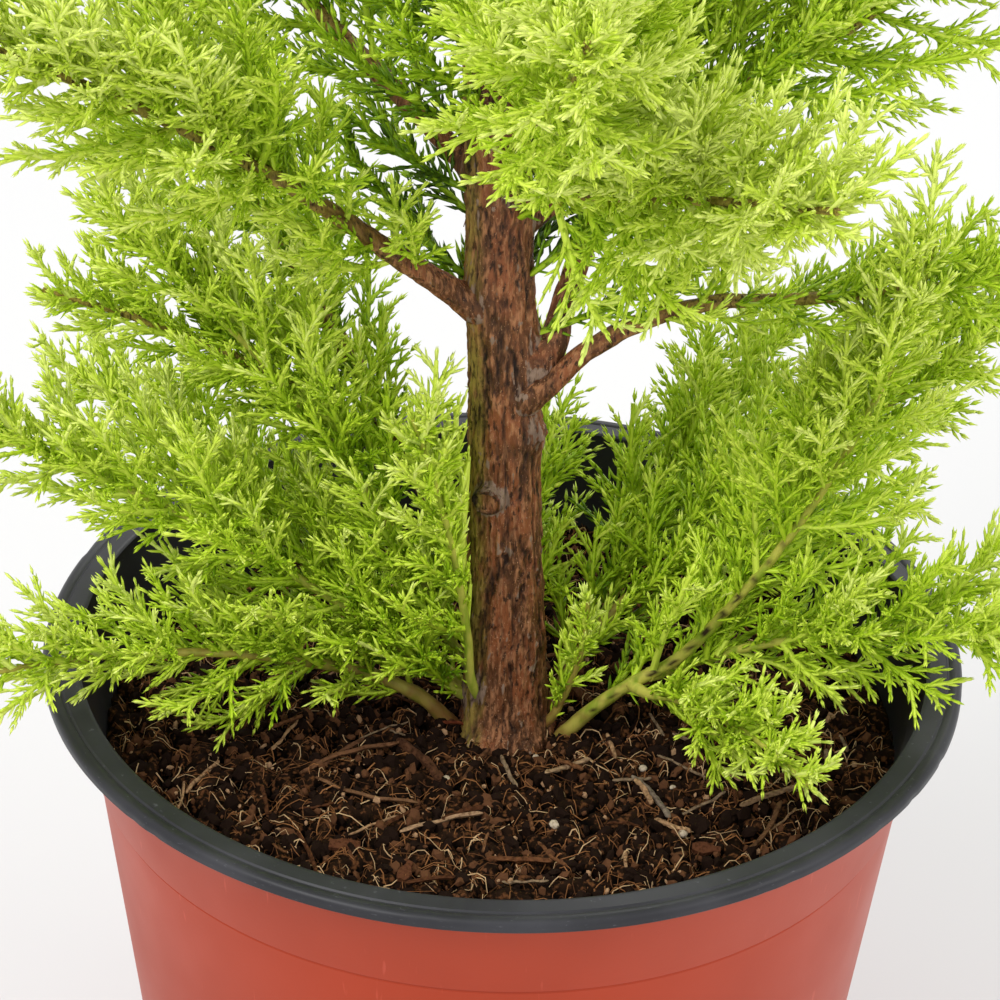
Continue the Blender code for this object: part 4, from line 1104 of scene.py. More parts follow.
def plan_masses(limbs):
    """Works out the stem of every mass, and adds the upper boughs to the limbs."""
    masses = []

    def add(name, start, azimuth, rise_foot, rise_tip, length, reach, foot_radius):
        """Plans one stem, which leaves along its azimuth and then swings aside a little."""
        seed = len(masses) + 1
        draw = random.Random(seed)
        swing = draw.uniform(-STEM_TURN, STEM_TURN)
        path = bent_path(start, azimuth, rise_foot, rise_tip, length, STEM_PARTS, swing)
        masses.append(Mass(name, seed, path, foot_radius, reach))

    for name, host, along, side, azimuth, rise_foot, rise_tip, length, reach in MASSES:
        foot_radius = mix(STEM_FOOT_RADII[0], STEM_FOOT_RADII[1],
                          min(1.0, length / STEM_LONG)) * MM
        aim = heading(azimuth, rise_foot)
        if host == "trunk":
            centre = trunk_point(along * MM)
            start = off_the_side(centre, UP, trunk_radius(along * MM), side, aim,
                                 foot_radius * SECTION_FLAT)
        elif along is None:
            tip, axis = place_on(limbs[host].path, FAR_AWAY)
            foot_radius = min(foot_radius, limbs[host].radii[-1])
            start = tip + axis * (GAP + foot_radius * aim.cross(axis).length)
        else:
            centre, axis = place_on(limbs[host].path, along * MM)
            start = off_the_side(centre, axis, limbs[host].radius_at(along * MM), side, aim,
                                 foot_radius * SECTION_FLAT)
        add(name, start, azimuth, rise_foot, rise_tip, length * MM, reach * MM, foot_radius)

    for index, foot, azimuth, rise, length, reach in spiral_rows():
        number = f"{index + 1:02d}"
        foot_radius = mix(1.7, 1.2, index / SPIRAL_COUNT) * MM
        centre = trunk_point(foot * MM)
        aim = heading(azimuth, rise)
        if index < SPIRAL_BOUGHS:
            radius = mix(2.1, 1.6, index / SPIRAL_BOUGHS) * MM
            start = off_the_side(centre, UP, trunk_radius(foot * MM), azimuth, aim, radius)
            path = bent_path(start, azimuth, rise, rise, SPIRAL_BOUGH_LENGTH * MM, 3)
            limb = Limb(f"bough_upper_{number}", path, (radius, 1.5 * MM))
            limbs[limb.name] = limb
            start = path[-1] + aim * GAP
            length = length - SPIRAL_BOUGH_LENGTH
        else:
            start = off_the_side(centre, UP, trunk_radius(foot * MM), azimuth, aim,
                                 foot_radius * SECTION_FLAT)
        add(f"foliage_upper_{number}", start, azimuth, rise, rise + 6.0, length * MM, reach * MM,
            foot_radius)

    top = trunk_point(TRUNK_TOP) + UP * GAP
    add("foliage_leader", top, 190.0, 84.0, 88.0, LEADER_LENGTH * MM, LEADER_REACH * MM, 1.2 * MM)
    return masses


def segments_of(paths):
    """Starts and ends of all the straight parts of some paths, with the path each belongs to."""
    starts, ends, owners = [], [], []
    for owner, path in enumerate(paths):
        for first, second in zip(path, path[1:]):
            starts.append(first)
            ends.append(second)
            owners.append(owner)
    return np.array(starts), np.array(ends), np.array(owners)


def distances(points, starts, ends):
    """Distance from every point to every straight part."""
    along = ends - starts
    reach = points[:, None, :] - starts[None, :, :]
    share = np.clip((reach * along).sum(-1) / (along * along).sum(-1), 0.0, 1.0)
    return np.linalg.norm(reach - share[..., None] * along, axis=-1)


def seen_from_camera(points):
    """Where points stand in the picture, as slopes across and up, and their depth."""
    yaw, pitch, _ = CAMERA_TURNS
    forward = np.array((math.sin(yaw) * math.cos(pitch), math.cos(yaw) * math.cos(pitch),
                        -math.sin(pitch)))
    right = np.array((math.cos(yaw), -math.sin(yaw), 0.0))
    ray = np.asarray(points) - np.array(CAMERA_PLACE)
    depth = ray @ forward
    return ray @ right / depth, ray @ np.cross(right, forward) / depth, depth


def hides_bark(points):
    """True for each point that would stand before the bare trunk or the bare low stem."""
    across, up, depth = seen_from_camera(points)
    hidden = np.full(len(points), False)
    for line, width in BARE_LINES:
        line_across, line_up, line_depth = seen_from_camera(line)
        for first in range(len(line) - 1):
            run = np.array((line_across[first + 1] - line_across[first],
                            line_up[first + 1] - line_up[first]))
            off = np.stack((across - line_across[first], up - line_up[first]), axis=1)
            share = np.clip(off @ run / (run @ run), 0.0, 1.0)
            apart = np.linalg.norm(off - share[:, None] * run, axis=1)
            far = line_depth[first] + share * (line_depth[first + 1] - line_depth[first])
            hidden |= (apart * far < width) & (depth < far - 0.4 * width)
    return hidden


class Space:
    """Tells whether a point lies in the space of one mass and clear of everything else."""

    def __init__(self, limbs, masses):
        self.count = len(masses)
        self.stems = segments_of([mass.path for mass in masses])
        heights = [TRUNK_TOP * index / 30.0 for index in range(31)]
        paths = [limb.path for limb in limbs.values()]
        paths.append([trunk_point(height) for height in heights])
        self.limbs = segments_of(paths)
        radii = []
        for limb in limbs.values():
            parts = len(limb.path) - 1
            radii.extend(mix(limb.radii[0], limb.radii[1], index / parts) for index in range(parts))
        radii.extend(trunk_radius(height) for height in heights[:-1])
        self.limb_radii = np.array(radii)

    def holds(self, owner, points, margin):
        """True for each point that the mass may use, margin being the room the point needs.

        Without an owner only the limbs, the mix and the pot are kept clear."""
        fine = ~hides_bark(points)
        if owner is not None:
            starts, ends, owners = self.stems
            nearest = np.full((len(points), self.count), FAR_AWAY)
            every = distances(points, starts, ends)
            for index in range(self.count):
                nearest[:, index] = every[:, owners == index].min(axis=1)
            own = nearest[:, owner].copy()
            nearest[:, owner] = FAR_AWAY
            fine &= nearest.min(axis=1) - own > KEEP_FROM_NEIGHBOUR * MM + margin
        to_limbs = distances(points, self.limbs[0], self.limbs[1]) - self.limb_radii
        fine &= to_limbs.min(axis=1) > KEEP_FROM_LIMB * MM + margin
        radius = np.hypot(points[:, 0], points[:, 1])
        height = points[:, 2]
        over_rim = height > POT_HEIGHT + KEEP_FROM_RIM * MM + margin
        in_pot = (radius < POT_SEAM_RADIUS - KEEP_FROM_WALL * MM) & (
            height > SOIL_LEVEL + KEEP_FROM_GROUND * MM + margin)
        return fine & (over_rim | in_pot)


def across_at(axis, roll):
    """Unit direction across axis, turned about it by roll in degrees."""
    flat = UP.cross(axis)
    if flat.length < 0.05:
        flat = Vector((0.0, 1.0, 0.0)).cross(axis)
    flat.normalize()
    turn = math.radians(roll)
    return flat * math.cos(turn) + axis.cross(flat) * math.sin(turn)


def leaving(axis, roll, opened):
    """Unit direction that opens from axis by an angle, on the side that roll names; in degrees."""
    turn = math.radians(opened)
    return axis * math.cos(turn) + across_at(axis, roll) * math.sin(turn)


def sweeping(root, aim, axis, length, curl, pull, lift):
    """Path of a twig that starts along aim, gives way to its stem's axis and turns upwards."""
    points = [root]
    for part in range(TWIG_PARTS):
        way = (part + 0.5) / TWIG_PARTS
        step = aim * (1.0 - curl * way) + axis * (pull * way)
        step.z += lift * way
        points.append(points[-1] + step.normalized() * (length / TWIG_PARTS))
    return points


def plumes_of(space, mass):
    """Feathery twigs that leave the upper side of a stem and sweep upwards."""
    draw = random.Random(mass.seed * 521)
    count = int(mass.length / (PLUME_SPACING * MM))
    plans, paths = [], []
    for index in range(count):
        share = mix(*PLUME_SHARES, (index + draw.random() * PLUME_JITTER) / count)
        root, axis = place_on(mass.path, share * mass.length)
        side = across_at(axis, 90.0 + draw.uniform(-PLUME_SIDES, PLUME_SIDES))
        opened = math.radians(draw.uniform(*PLUME_OPEN))
        aim = axis * math.cos(opened) + side * math.sin(opened)
        swell = min(1.0, TWIG_YOUNG + TWIG_GROWTH * share)
        swell *= 1.0 - PLUME_TAPER * share ** TWIG_TAPER_POWER
        length = mass.reach * swell * draw.uniform(*PLUME_LENGTHS)
        plans.append((index + EXTRA_SEED * 3, share))
        paths.append(sweeping(root, aim, axis, length, PLUME_LIFT, PLUME_CURL, PLUME_LIFT))
    kept = cut_to_space(space, None, paths, TWIG_ROOM * MM, TWIG_LEAST_PARTS)
    return [(index, share, path) for (index, share), path in zip(plans, kept) if path]


def cut_to_space(space, owner, paths, margin, least):
    """Shortens each path to the part in the owner's space; None where too little is left."""
    if not paths:
        return []
    samples = np.array([point for path in paths for point in path[1:]])
    fine = space.holds(owner, samples, margin)
    kept = []
    first = 0
    for path in paths:
        parts = len(path) - 1
        good = 0
        while good < parts and fine[first + good]:
            good += 1
        first += parts
        kept.append(path[:good + 1] if good >= least else None)
    return kept


def twigs_of(space, owner, mass, extra=0):
    """The side twigs of a mass: number, share along the stem and points of each.

    With extra set they stand between the rule's own, are shorter and draw from other seeds."""
    count = int(mass.length / (TWIG_SPACING * MM)) + 2
    plans = []
    paths = []
    for index in range(count):
        draw = random.Random(mass.seed * 1000 + index + extra * EXTRA_SEED)
        spot = index + draw.random() * TWIG_JITTER + 0.5 * extra
        share = min(1.0, mix(TWIG_SHARES[0], TWIG_SHARES[1], spot / count))
        root, axis = place_on(mass.path, share * mass.length)
        roll = GOLDEN_ANGLE * (index + 0.5 * extra)
        roll += draw.uniform(-TWIG_ROLL_JITTER, TWIG_ROLL_JITTER)
        opened = mix(TWIG_OPEN[0], TWIG_OPEN[1], share)
        aim = leaving(axis, roll, opened + draw.uniform(-TWIG_OPEN_JITTER, TWIG_OPEN_JITTER))
        swell = min(1.0, TWIG_YOUNG + TWIG_GROWTH * share)
        swell *= 1.0 - TWIG_TAPER * share ** TWIG_TAPER_POWER
        length = mass.reach * swell * draw.uniform(*TWIG_LENGTHS) * EXTRA_LENGTH ** extra
        plans.append((index + extra * EXTRA_SEED, share))
        paths.append(sweeping(root, aim, axis, length, TWIG_CURL, TWIG_CURL, TWIG_LIFT))
    whose = None if extra else owner
    kept = cut_to_space(space, whose, paths, TWIG_ROOM * MM, TWIG_LEAST_PARTS)
    return [(index, share, path) for (index, share), path in zip(plans, kept) if path]


def sprays_of(space, owner, mass, twig):
    """The sprays on one twig: number, root and tip of each."""
    index, _, path = twig
    owner = None if index >= EXTRA_SEED else owner
    length = length_of(path)
    count = max(2, int(length / (SPRAY_SPACING * MM)))
    plans = []
    paths = []
    for spot in range(count):
        draw = random.Random(mass.seed * 100000 + index * 100 + spot)
        share = mix(SPRAY_SHARES[0], SPRAY_SHARES[1], (spot + draw.random() * SPRAY_JITTER) / count)
        root, axis = place_on(path, share * length)
        roll = 180.0 * spot + SPRAY_ROLL_STEP * (spot // 2 % 2)
        roll += draw.uniform(-SPRAY_ROLL_JITTER, SPRAY_ROLL_JITTER)
        opened = SPRAY_OPEN + draw.uniform(-SPRAY_OPEN_JITTER, SPRAY_OPEN_JITTER)
        aim = leaving(axis, roll, opened)
        longest = min(SPRAY_LENGTH * MM, length * SPRAY_SHARE)
        reach = longest * (1.0 - SPRAY_TAPER * share) * draw.uniform(*SPRAY_LENGTHS)
        plans.append(spot)
        paths.append([root + aim * (reach * part / SPRAY_PARTS) for part in range(SPRAY_PARTS + 1)])
    kept = cut_to_space(space, owner, paths, SPRAY_ROOM * MM, SPRAY_LEAST_PARTS)
    return [(spot, path[0], path[-1]) for spot, path in zip(plans, kept) if path]


class Foliage:
    """Collects the shoots and the needles of the crown by shade."""

    def __init__(self):
        self.draw = np.random.default_rng(2207)
        self.needles = {kind: [[] for _ in SHADES] for kind in ("blunt", "slim")}
        self.shoots = [Paths() for _ in SHADES]
        self.level = "near"

    def shade(self, tone):
        """Number of the shade for a tone from 0 to 1."""
        return int(min(len(SHADES) - 1, max(0.0, tone * len(SHADES))))

    def shoot(self, path, kind, tone, size=1.0):
        """Adds the green axis of a shoot."""
        foot, tip = AXES[kind]
        self.shoots[self.shade(tone)].add(path, foot * size * MM, tip * size * MM)

    def needle_rows(self, path, kind, tone, start=0.0, tuft=True):
        """Pairs of needles that cross one another along a path, and a few at its tip."""
        spacing, length, open_foot, open_tip = NEEDLES[kind]
        wider, larger, blunt = DETAIL[self.level]
        spacing *= wider
        draw = self.draw
        points = np.array(path)
        steps = np.diff(points, axis=0)
        sizes = np.linalg.norm(steps, axis=1)
        reached = np.concatenate(([0.0], np.cumsum(sizes)))
        total = reached[-1]
        count = max(1, int(total * (1.0 - start) / (spacing * MM)))
        spots = np.arange(count) + draw.random(count) * NEEDLE_JITTER
        along = start * total + spots * spacing * MM
        along = np.repeat(np.minimum(along, total), 2)
        stray = draw.uniform(-NEEDLE_ROLL_JITTER, NEEDLE_ROLL_JITTER, count)
        roll = np.repeat(90.0 * np.arange(count) + stray, 2)
        roll = roll + np.tile((0.0, 180.0), count) + draw.uniform(0.0, 90.0)
        share = along / total
        opened = mix(open_foot, open_tip, share)
        opened = opened + draw.normal(0.0, NEEDLE_OPEN_SPREAD, count * 2)
        size = length * (1.0 - NEEDLE_SHORTENS * share ** 2)
        if tuft:
            along = np.concatenate((along, np.full(TIP_NEEDLES, total)))
            roll = np.concatenate((roll, draw.uniform(0.0, 360.0)
                                   + np.arange(TIP_NEEDLES) * 360.0 / TIP_NEEDLES))
            opened = np.concatenate((opened, draw.normal(TIP_OPEN, 4.0, TIP_NEEDLES)))
            size = np.concatenate((size, np.full(TIP_NEEDLES, length * TIP_NEEDLE_SHARE)))
            share = np.concatenate((share, np.ones(TIP_NEEDLES)))
        part = np.clip(np.searchsorted(reached, along, side="right") - 1, 0, len(sizes) - 1)
        axis = steps[part] / sizes[part][:, None]
        place = points[part] + axis * (along - reached[part])[:, None]
        flat = np.cross(np.array((0.0, 0.0, 1.0)), axis)
        wide = np.linalg.norm(flat, axis=1)
        flat[wide < 0.05] = (1.0, 0.0, 0.0)
        flat /= np.linalg.norm(flat, axis=1)[:, None]
        other = np.cross(axis, flat)
        turn = np.radians(roll)[:, None]
        across = flat * np.cos(turn) + other * np.sin(turn)
        lean = np.radians(opened)[:, None]
        aim = axis * np.cos(lean) + across * np.sin(lean)
        size = size * draw.uniform(*NEEDLE_LENGTHS, len(size)) / NEEDLES["spray"][1]
        width = np.sqrt(size) * draw.uniform(*NEEDLE_WIDTHS, len(size)) * larger
        grow = np.stack((width, width, size * larger), axis=1)
        tones = tone + TONE_ALONG * (share - 0.4) + draw.normal(0.0, TONE_SPREAD, len(size))
        shades = np.clip((tones * len(SHADES)).astype(int), 0, len(SHADES) - 1)
        rows = np.concatenate((place, aim, axis, grow), axis=1)
        keep = ~hides_bark(place + aim * (length * 0.8 * MM))
        rows, shades = rows[keep], shades[keep]
        form = "blunt" if blunt and kind != "shoot" else "slim"
        for shade in np.unique(shades):
            self.needles[form][shade].append(rows[shades == shade])


def tone_of(mass):
    """How light the foliage of a mass is: painted light, lighter towards the viewer and the top,
    where the light falls.
    """
    middle = mass.path[len(mass.path) // 2]
    tone = TONE_AT_TRUNK - PAINTED_LIGHT_TO_VIEWER * middle.y + PAINTED_LIGHT_UPWARDS * (middle.z - SOIL_LEVEL)
    return min(TONE_RANGE[1], max(TONE_RANGE[0], tone))


def curved(root, tip, aside, bend):
    """Path from root to tip that bows aside by a share of its length."""
    reach = tip - root
    out = aside * (reach.length * bend)
    return [root + reach * share + out * (share * (1.0 - share) * 2.0 + share * share * 0.5)
            for share in (0.0, 0.34, 0.67, 1.0)]


def side_shoots(rows, path, spacing, lengths, opened, draw, tone, tone_rise, start, limit, rolls):
    """Adds a row of short side shoots along a path to rows, longest near its foot."""
    length = length_of(path)
    span = SHOOT_SHARE_END - start
    count = int(length * span / (spacing * MM))
    for step in range(count):
        way = start + span * (step + draw.random() * 0.5) / count
        foot, line = place_on(path, way * length)
        aim = leaving(line, rolls(step) + draw.uniform(-26.0, 26.0),
                      opened + draw.uniform(-8.0, 8.0))
        reach = min(draw.uniform(*lengths) * MM, length * limit) * (1.12 - 0.45 * way)
        rows.append((foot, foot + aim * reach, line, tone + tone_rise * way))


def grow_twig(foliage, space, owner, mass, twig, base, fine):
    """Grows one twig with its sprays; the short shoots are added to fine."""
    index, share, path = twig
    draw = random.Random(mass.seed * 777 + index)
    length = length_of(path)
    # Painted shade inside the crown: twigs near the foot of their stem, and sprays near the foot of
    # their twig, get darker tones, and the yellow of young growth lies further out.
    tone = base - 0.1 + 0.3 * share + draw.uniform(-0.1, 0.1)
    foliage.shoot(path, "twig", tone + 0.24, 0.72 + 0.28 * min(1.0, length / (30.0 * MM)))
    foliage.needle_rows(path, "twig", tone + 0.1, start=0.04)
    for spot, root, tip in sprays_of(space, owner, mass, twig):
        along = (root - path[0]).length / length
        axis = (tip - root).normalized()
        aside = (path[-1] - path[0]).normalized()
        aside = (aside - axis * aside.dot(axis)) + Vector((0.0, 0.0, draw.uniform(-0.3, 0.5)))
        spray = curved(root, tip, aside, draw.uniform(0.04, 0.24))
        own = tone - 0.08 + 0.42 * along + draw.uniform(-0.08, 0.08)
        foliage.shoot(spray, "spray", own + 0.14)
        foliage.needle_rows(spray, "spray", own + 0.04, start=0.1)
    side_shoots(fine, path, BETWEEN_SPACING, BETWEEN_LENGTHS, 44.0, draw, tone, 0.16, 0.06, 0.45,
                lambda step: 90.0 + 180.0 * step + SPRAY_ROLL_STEP * (step // 2 % 2))


def rooted(space, paths, room):
    """Number, share and points of the twigs that have room once they have left their host."""
    kept = cut_to_space(space, None, [path[1:] for path in paths], room, TWIG_LEAST_PARTS)
    return [(EXTRA_SEED * 2 + index, 0.1, [path[0], *good])
            for index, (path, good) in enumerate(zip(paths, kept)) if good]


def bough_twigs(space, mass, bough):
    """Twigs along the bough that bears a mass, from where it has left the trunk a little way."""
    length = length_of(bough.path)
    draw = random.Random(mass.seed * 313)
    paths = []
    for index in range(int(length / (BOUGH_TWIG_SPACING * MM))):
        way = (1.0 - BOUGH_TWIG_FROM) * (index + draw.random()) * BOUGH_TWIG_SPACING * MM / length
        way += BOUGH_TWIG_FROM
        root, axis = place_on(bough.path, min(1.0, way) * length)
        roll = GOLDEN_ANGLE * index + draw.uniform(-20.0, 20.0)
        aim = leaving(axis, roll, draw.uniform(*BOUGH_TWIG_OPEN))
        reach = draw.uniform(*BOUGH_TWIG_LENGTHS) * MM * (0.45 + 0.55 * way)
        paths.append(sweeping(root, aim, axis, reach, TWIG_CURL, TWIG_CURL, BOUGH_TWIG_LIFT))
    return rooted(space, paths, SHOOT_ROOM)


def trunk_twigs(space):
    """Twigs on the trunk itself between the boughs: number, share and points of each."""
    draw = random.Random(717)
    paths = []
    height = TRUNK_TWIG_FROM
    while height * MM < TRUNK_TOP - TRUNK_TWIG_END * MM:
        azimuth = GOLDEN_ANGLE * len(paths) + draw.uniform(-25.0, 25.0)
        share = height * MM / TRUNK_TOP
        rise = mix(*TRUNK_TWIG_RISES, share) + draw.uniform(-10.0, 10.0)
        reach = mix(*TRUNK_TWIG_LENGTHS, share) * draw.uniform(0.6, 1.1) * MM
        aim = heading(azimuth, rise)
        out = heading(azimuth, 0.0) * (trunk_radius(height * MM) * 0.7)
        points = [trunk_point(height * MM) + out]
        for _ in range(TWIG_PARTS):
            aim = (aim + UP * TRUNK_TWIG_LIFT).normalized()
            points.append(points[-1] + aim * (reach / TWIG_PARTS))
        paths.append(points)
        spacing = TRUNK_TWIG_SPACINGS[height * MM + SOIL_LEVEL > HIGH_UP]
        height += spacing * draw.uniform(0.7, 1.3)
    return rooted(space, paths, 0.0)


def level_of(foot, middle):
    """How finely the foliage of a mass or twig is shown: near, rear or high."""
    if foot.z > HIGH_UP:
        return "high"
    return "rear" if middle.y > REAR_FROM else "near"


def grow_fine(foliage, space, fine):
    """Adds the short shoots that have room, with their needles."""
    fits = space.holds(None, np.array([row[1] for row in fine]), SHOOT_ROOM)
    for row, good in zip(fine, fits):
        if not good:
            continue
        root, tip, line, tone = row
        axis = (tip - root).normalized()
        aside = line - axis * line.dot(axis)
        path = [root, root.lerp(tip, 0.5) + aside * (0.02 * (tip - root).length),
                tip + aside * (0.12 * (tip - root).length)]
        foliage.shoot(path, "shoot", tone + 0.06)
        foliage.needle_rows(path, "shoot", tone + 0.04, start=0.15)


def grow_mass(foliage, space, owner, mass, bough=None):
    """Grows twigs, sprays and short shoots of one mass and their needles."""
    base = tone_of(mass)
    foliage.level = level_of(mass.path[0], mass.path[3])
    foliage.needle_rows(mass.path, "stem", base + 0.12)
    twigs = twigs_of(space, owner, mass)
    high = foliage.level == "high"
    step = 2 if high or mass.path[0].z <= FULL_FROM else 1
    twigs += twigs_of(space, owner, mass, 1)[::step]
    if not high:
        twigs += plumes_of(space, mass)
    if bough:
        twigs += bough_twigs(space, mass, bough)
    fine = []
    for twig in twigs:
        grow_twig(foliage, space, owner, mass, twig, base, fine)
    side_shoots(fine, mass.path, COLLAR_SPACING, COLLAR_LENGTHS, 46.0,
                random.Random(mass.seed * 91), base, 0.14, 0.0, 0.5,
                lambda step: GOLDEN_ANGLE * step)
    grow_fine(foliage, space, fine)


def grow_trunk_twigs(foliage, space):
    """Grows the twigs that stand on the trunk itself."""
    bearer = Mass("trunk", 97, [trunk_point(0.0), trunk_point(TRUNK_TOP)], 0.0, 0.0)
    fine = []
    for twig in trunk_twigs(space):
        root = twig[2][0]
        foliage.level = level_of(root, twig[2][-1])
        # Painted light: the nearer a twig's tip comes to the viewer, the lighter its tone.
        base = min(0.4, max(0.1, 0.2 - 3.0 * (twig[2][-1].y)))
        grow_twig(foliage, space, None, bearer, twig, base, fine)
    grow_fine(foliage, space, fine)


def wall_profile():
    """Outside of the pot's wall from the seam to the collar, as (radius, height) pairs."""
    return [
        (POT_SEAM_RADIUS, POT_HEIGHT - POT_SEAM_DROP),
        (POT_NECK_RADIUS, POT_HEIGHT - POT_NECK_DROP),
        (POT_COLLAR_RADIUS, POT_HEIGHT - POT_COLLAR_DROP),
    ]


def drained(piece):
    """Cuts the drain holes through the floor of a piece."""
    shape = bmesh.new()
    for index in range(DRAIN_COUNT):
        turn = math.tau * (index + 0.5) / DRAIN_COUNT
        place = Matrix.Translation((*polar(DRAIN_RING_RADIUS, turn), 0.0))
        bmesh.ops.create_cone(shape, cap_ends=True, segments=32, radius1=DRAIN_RADIUS,
                              radius2=DRAIN_RADIUS, depth=20.0 * MM, matrix=place)
    mesh = bpy.data.meshes.new("drains")
    shape.to_mesh(mesh)
    shape.free()
    cutter = object_from("drains", mesh)
    change = piece.modifiers.new("drains", "BOOLEAN")
    change.operation = "DIFFERENCE"
    change.solver = "EXACT"
    change.object = cutter
    name = piece.name
    piece.name = f"{name}_whole"
    made = plain(piece, name)
    bpy.data.objects.remove(cutter, do_unlink=True)
    return made


def turned_piece(name, outline, material, angle=30.0):
    """Turns an outline into one object."""
    points, faces = turned(outline, TURN_STEPS)
    mesh = mesh_from(name, points, faces)
    mesh.materials.append(material)
    tidy_normals(mesh, angle)
    return object_from(name, mesh)


def beside(radius, height, offsets):
    """Points of an outline at offsets in millimetres from a radius and a height."""
    return [(radius + out * MM, height + up * MM) for out, up in offsets]


def build_wall(settings):
    """The red-brown outer wall with its fine seam line."""
    outer = wall_profile()
    scale = settings.height / POT_HEIGHT
    outline = [(0.0, POT_FLOOR), (POT_FOOT_RADIUS - POT_WALL, POT_FLOOR)]
    outline += [(radius - POT_WALL, height) for radius, height in outer]
    seam = POT_HEIGHT - POT_SEAM_DROP
    outline += [(POT_COLLAR_RADIUS - 0.2 * MM, outer[-1][1] + 0.1 * MM), *reversed(outer)]
    outline += [(POT_SEAM_RADIUS - 0.05 * MM, seam - 0.12 * MM),
                (POT_SEAM_RADIUS - POT_SEAM_STEP - SEAM_GROOVE, seam - 0.2 * MM),
                (POT_SEAM_RADIUS - POT_SEAM_STEP - SEAM_GROOVE, seam - 0.5 * MM),
                (POT_SEAM_RADIUS - POT_SEAM_STEP - 0.08 * MM, seam - 1.0 * MM)]
    outline += [*beside(POT_FOOT_RADIUS, 0.0, FOOT_EDGE), (0.0, 0.0)]
    outline = [(radius, height * scale) for radius, height in outline]
    piece = turned_piece("pot_wall", outline, plastic_material("satin_wall", settings.wall_colour))
    return finished(drained(piece), ["pot_body"])


def rim_outline(settings):
    """Section of the black lining with its rolled rim."""
    top = settings.height
    outer = wall_profile()
    back_off = POT_WALL + GAP
    lining_out = [(radius - back_off, height) for radius, height in outer]
    lining_in = [(radius - LINING_WALL, height) for radius, height in lining_out]
    floor = POT_FLOOR + GAP
    foot = POT_FOOT_RADIUS - back_off
    edge = settings.rim_radius
    outline = [(0.0, floor + LINING_WALL), (foot - LINING_WALL, floor + LINING_WALL), *lining_in,
               *beside(RIM_INNER_RADIUS, top, LIP_INSIDE),
               *beside(edge - GROOVE_INSET, top, LIP_GROOVE)]
    bead = edge - BEAD_RADIUS
    for index in range(9):
        out, up = polar(BEAD_RADIUS, math.radians(90.0 - 12.0 * index))
        outline.append((bead + out, top - BEAD_RADIUS + up))
    skirt = top - SKIRT_DROP
    outline += [(edge, skirt + 0.25 * MM), (edge - 0.2 * MM, skirt), (edge - 1.3 * MM, skirt),
                (edge - 1.4 * MM, top - RIM_UNDERSIDE_DROP),
                (lining_out[-1][0], top - RIM_UNDERSIDE_DROP), *reversed(lining_out),
                (foot, floor), (0.0, floor)]
    return outline


def build_rim(settings):
    """The black lining whose edge is rolled out, a little nicked along its rim."""
    piece = turned_piece("rim", rim_outline(settings),
                         plastic_material("satin_rim", settings.rim_colour), 35.0)
    draw = random.Random(61)
    nicks = [(draw.uniform(0.0, math.tau), draw.uniform(0.006, 0.02), draw.uniform(0.1, 0.32) * MM)
             for _ in range(NICK_COUNT)]
    for vert in piece.data.vertices:
        radius = math.hypot(vert.co.x, vert.co.y)
        if radius < RIM_INNER_RADIUS or vert.co.z < POT_HEIGHT - 3.0 * MM:
            continue
        turn = math.atan2(vert.co.y, vert.co.x) % math.tau
        wave = 0.12 * MM * noise.noise(Vector((math.cos(turn) * 3.0, math.sin(turn) * 3.0, 4.0)))
        edge = max(0.0, (radius - settings.rim_radius + 1.2 * MM) / (1.2 * MM))
        cut = 0.0
        for place, wide, deep in nicks:
            off = abs((turn - place + math.pi) % math.tau - math.pi)
            cut = max(cut, deep * max(0.0, 1.0 - (off / wide) ** 2))
        factor = 1.0 - (cut * edge - wave * edge) / radius
        vert.co.x *= factor
        vert.co.y *= factor
        vert.co.z -= cut * 0.5 * edge
    return finished(drained(piece), ["pot_rim"])


def ground_height(x, y, relief):
    """Height of the mix above its level, and how raised that spot is, from 0 to 1, which paints
    shade into the hollows and pits.
    """
    place = Vector((x, y, 0.0)) / MM
    broad = noise.fractal(place / 15.0 + Vector((3.1, 0.0, 0.0)), 1.0, 2.0, 2)
    clods = noise.fractal(place / 5.5 + Vector((0.0, 9.7, 0.0)), 0.9, 2.1, 3)
    fine = noise.fractal(place / 1.7 + Vector((5.3, 1.7, 0.0)), 0.8, 2.0, 3)
    lumps = noise.noise(place / 3.3 + Vector((1.9, 6.1, 0.0)))
    pits = max(0.0, -lumps - 0.06) * 4.0
    rise = 0.45 * broad + 0.5 * clods + 0.28 * fine + 0.5 * max(0.0, lumps) - pits
    return rise * relief, clamp(0.5 + 0.5 * clods + 0.5 * fine - 1.5 * pits)


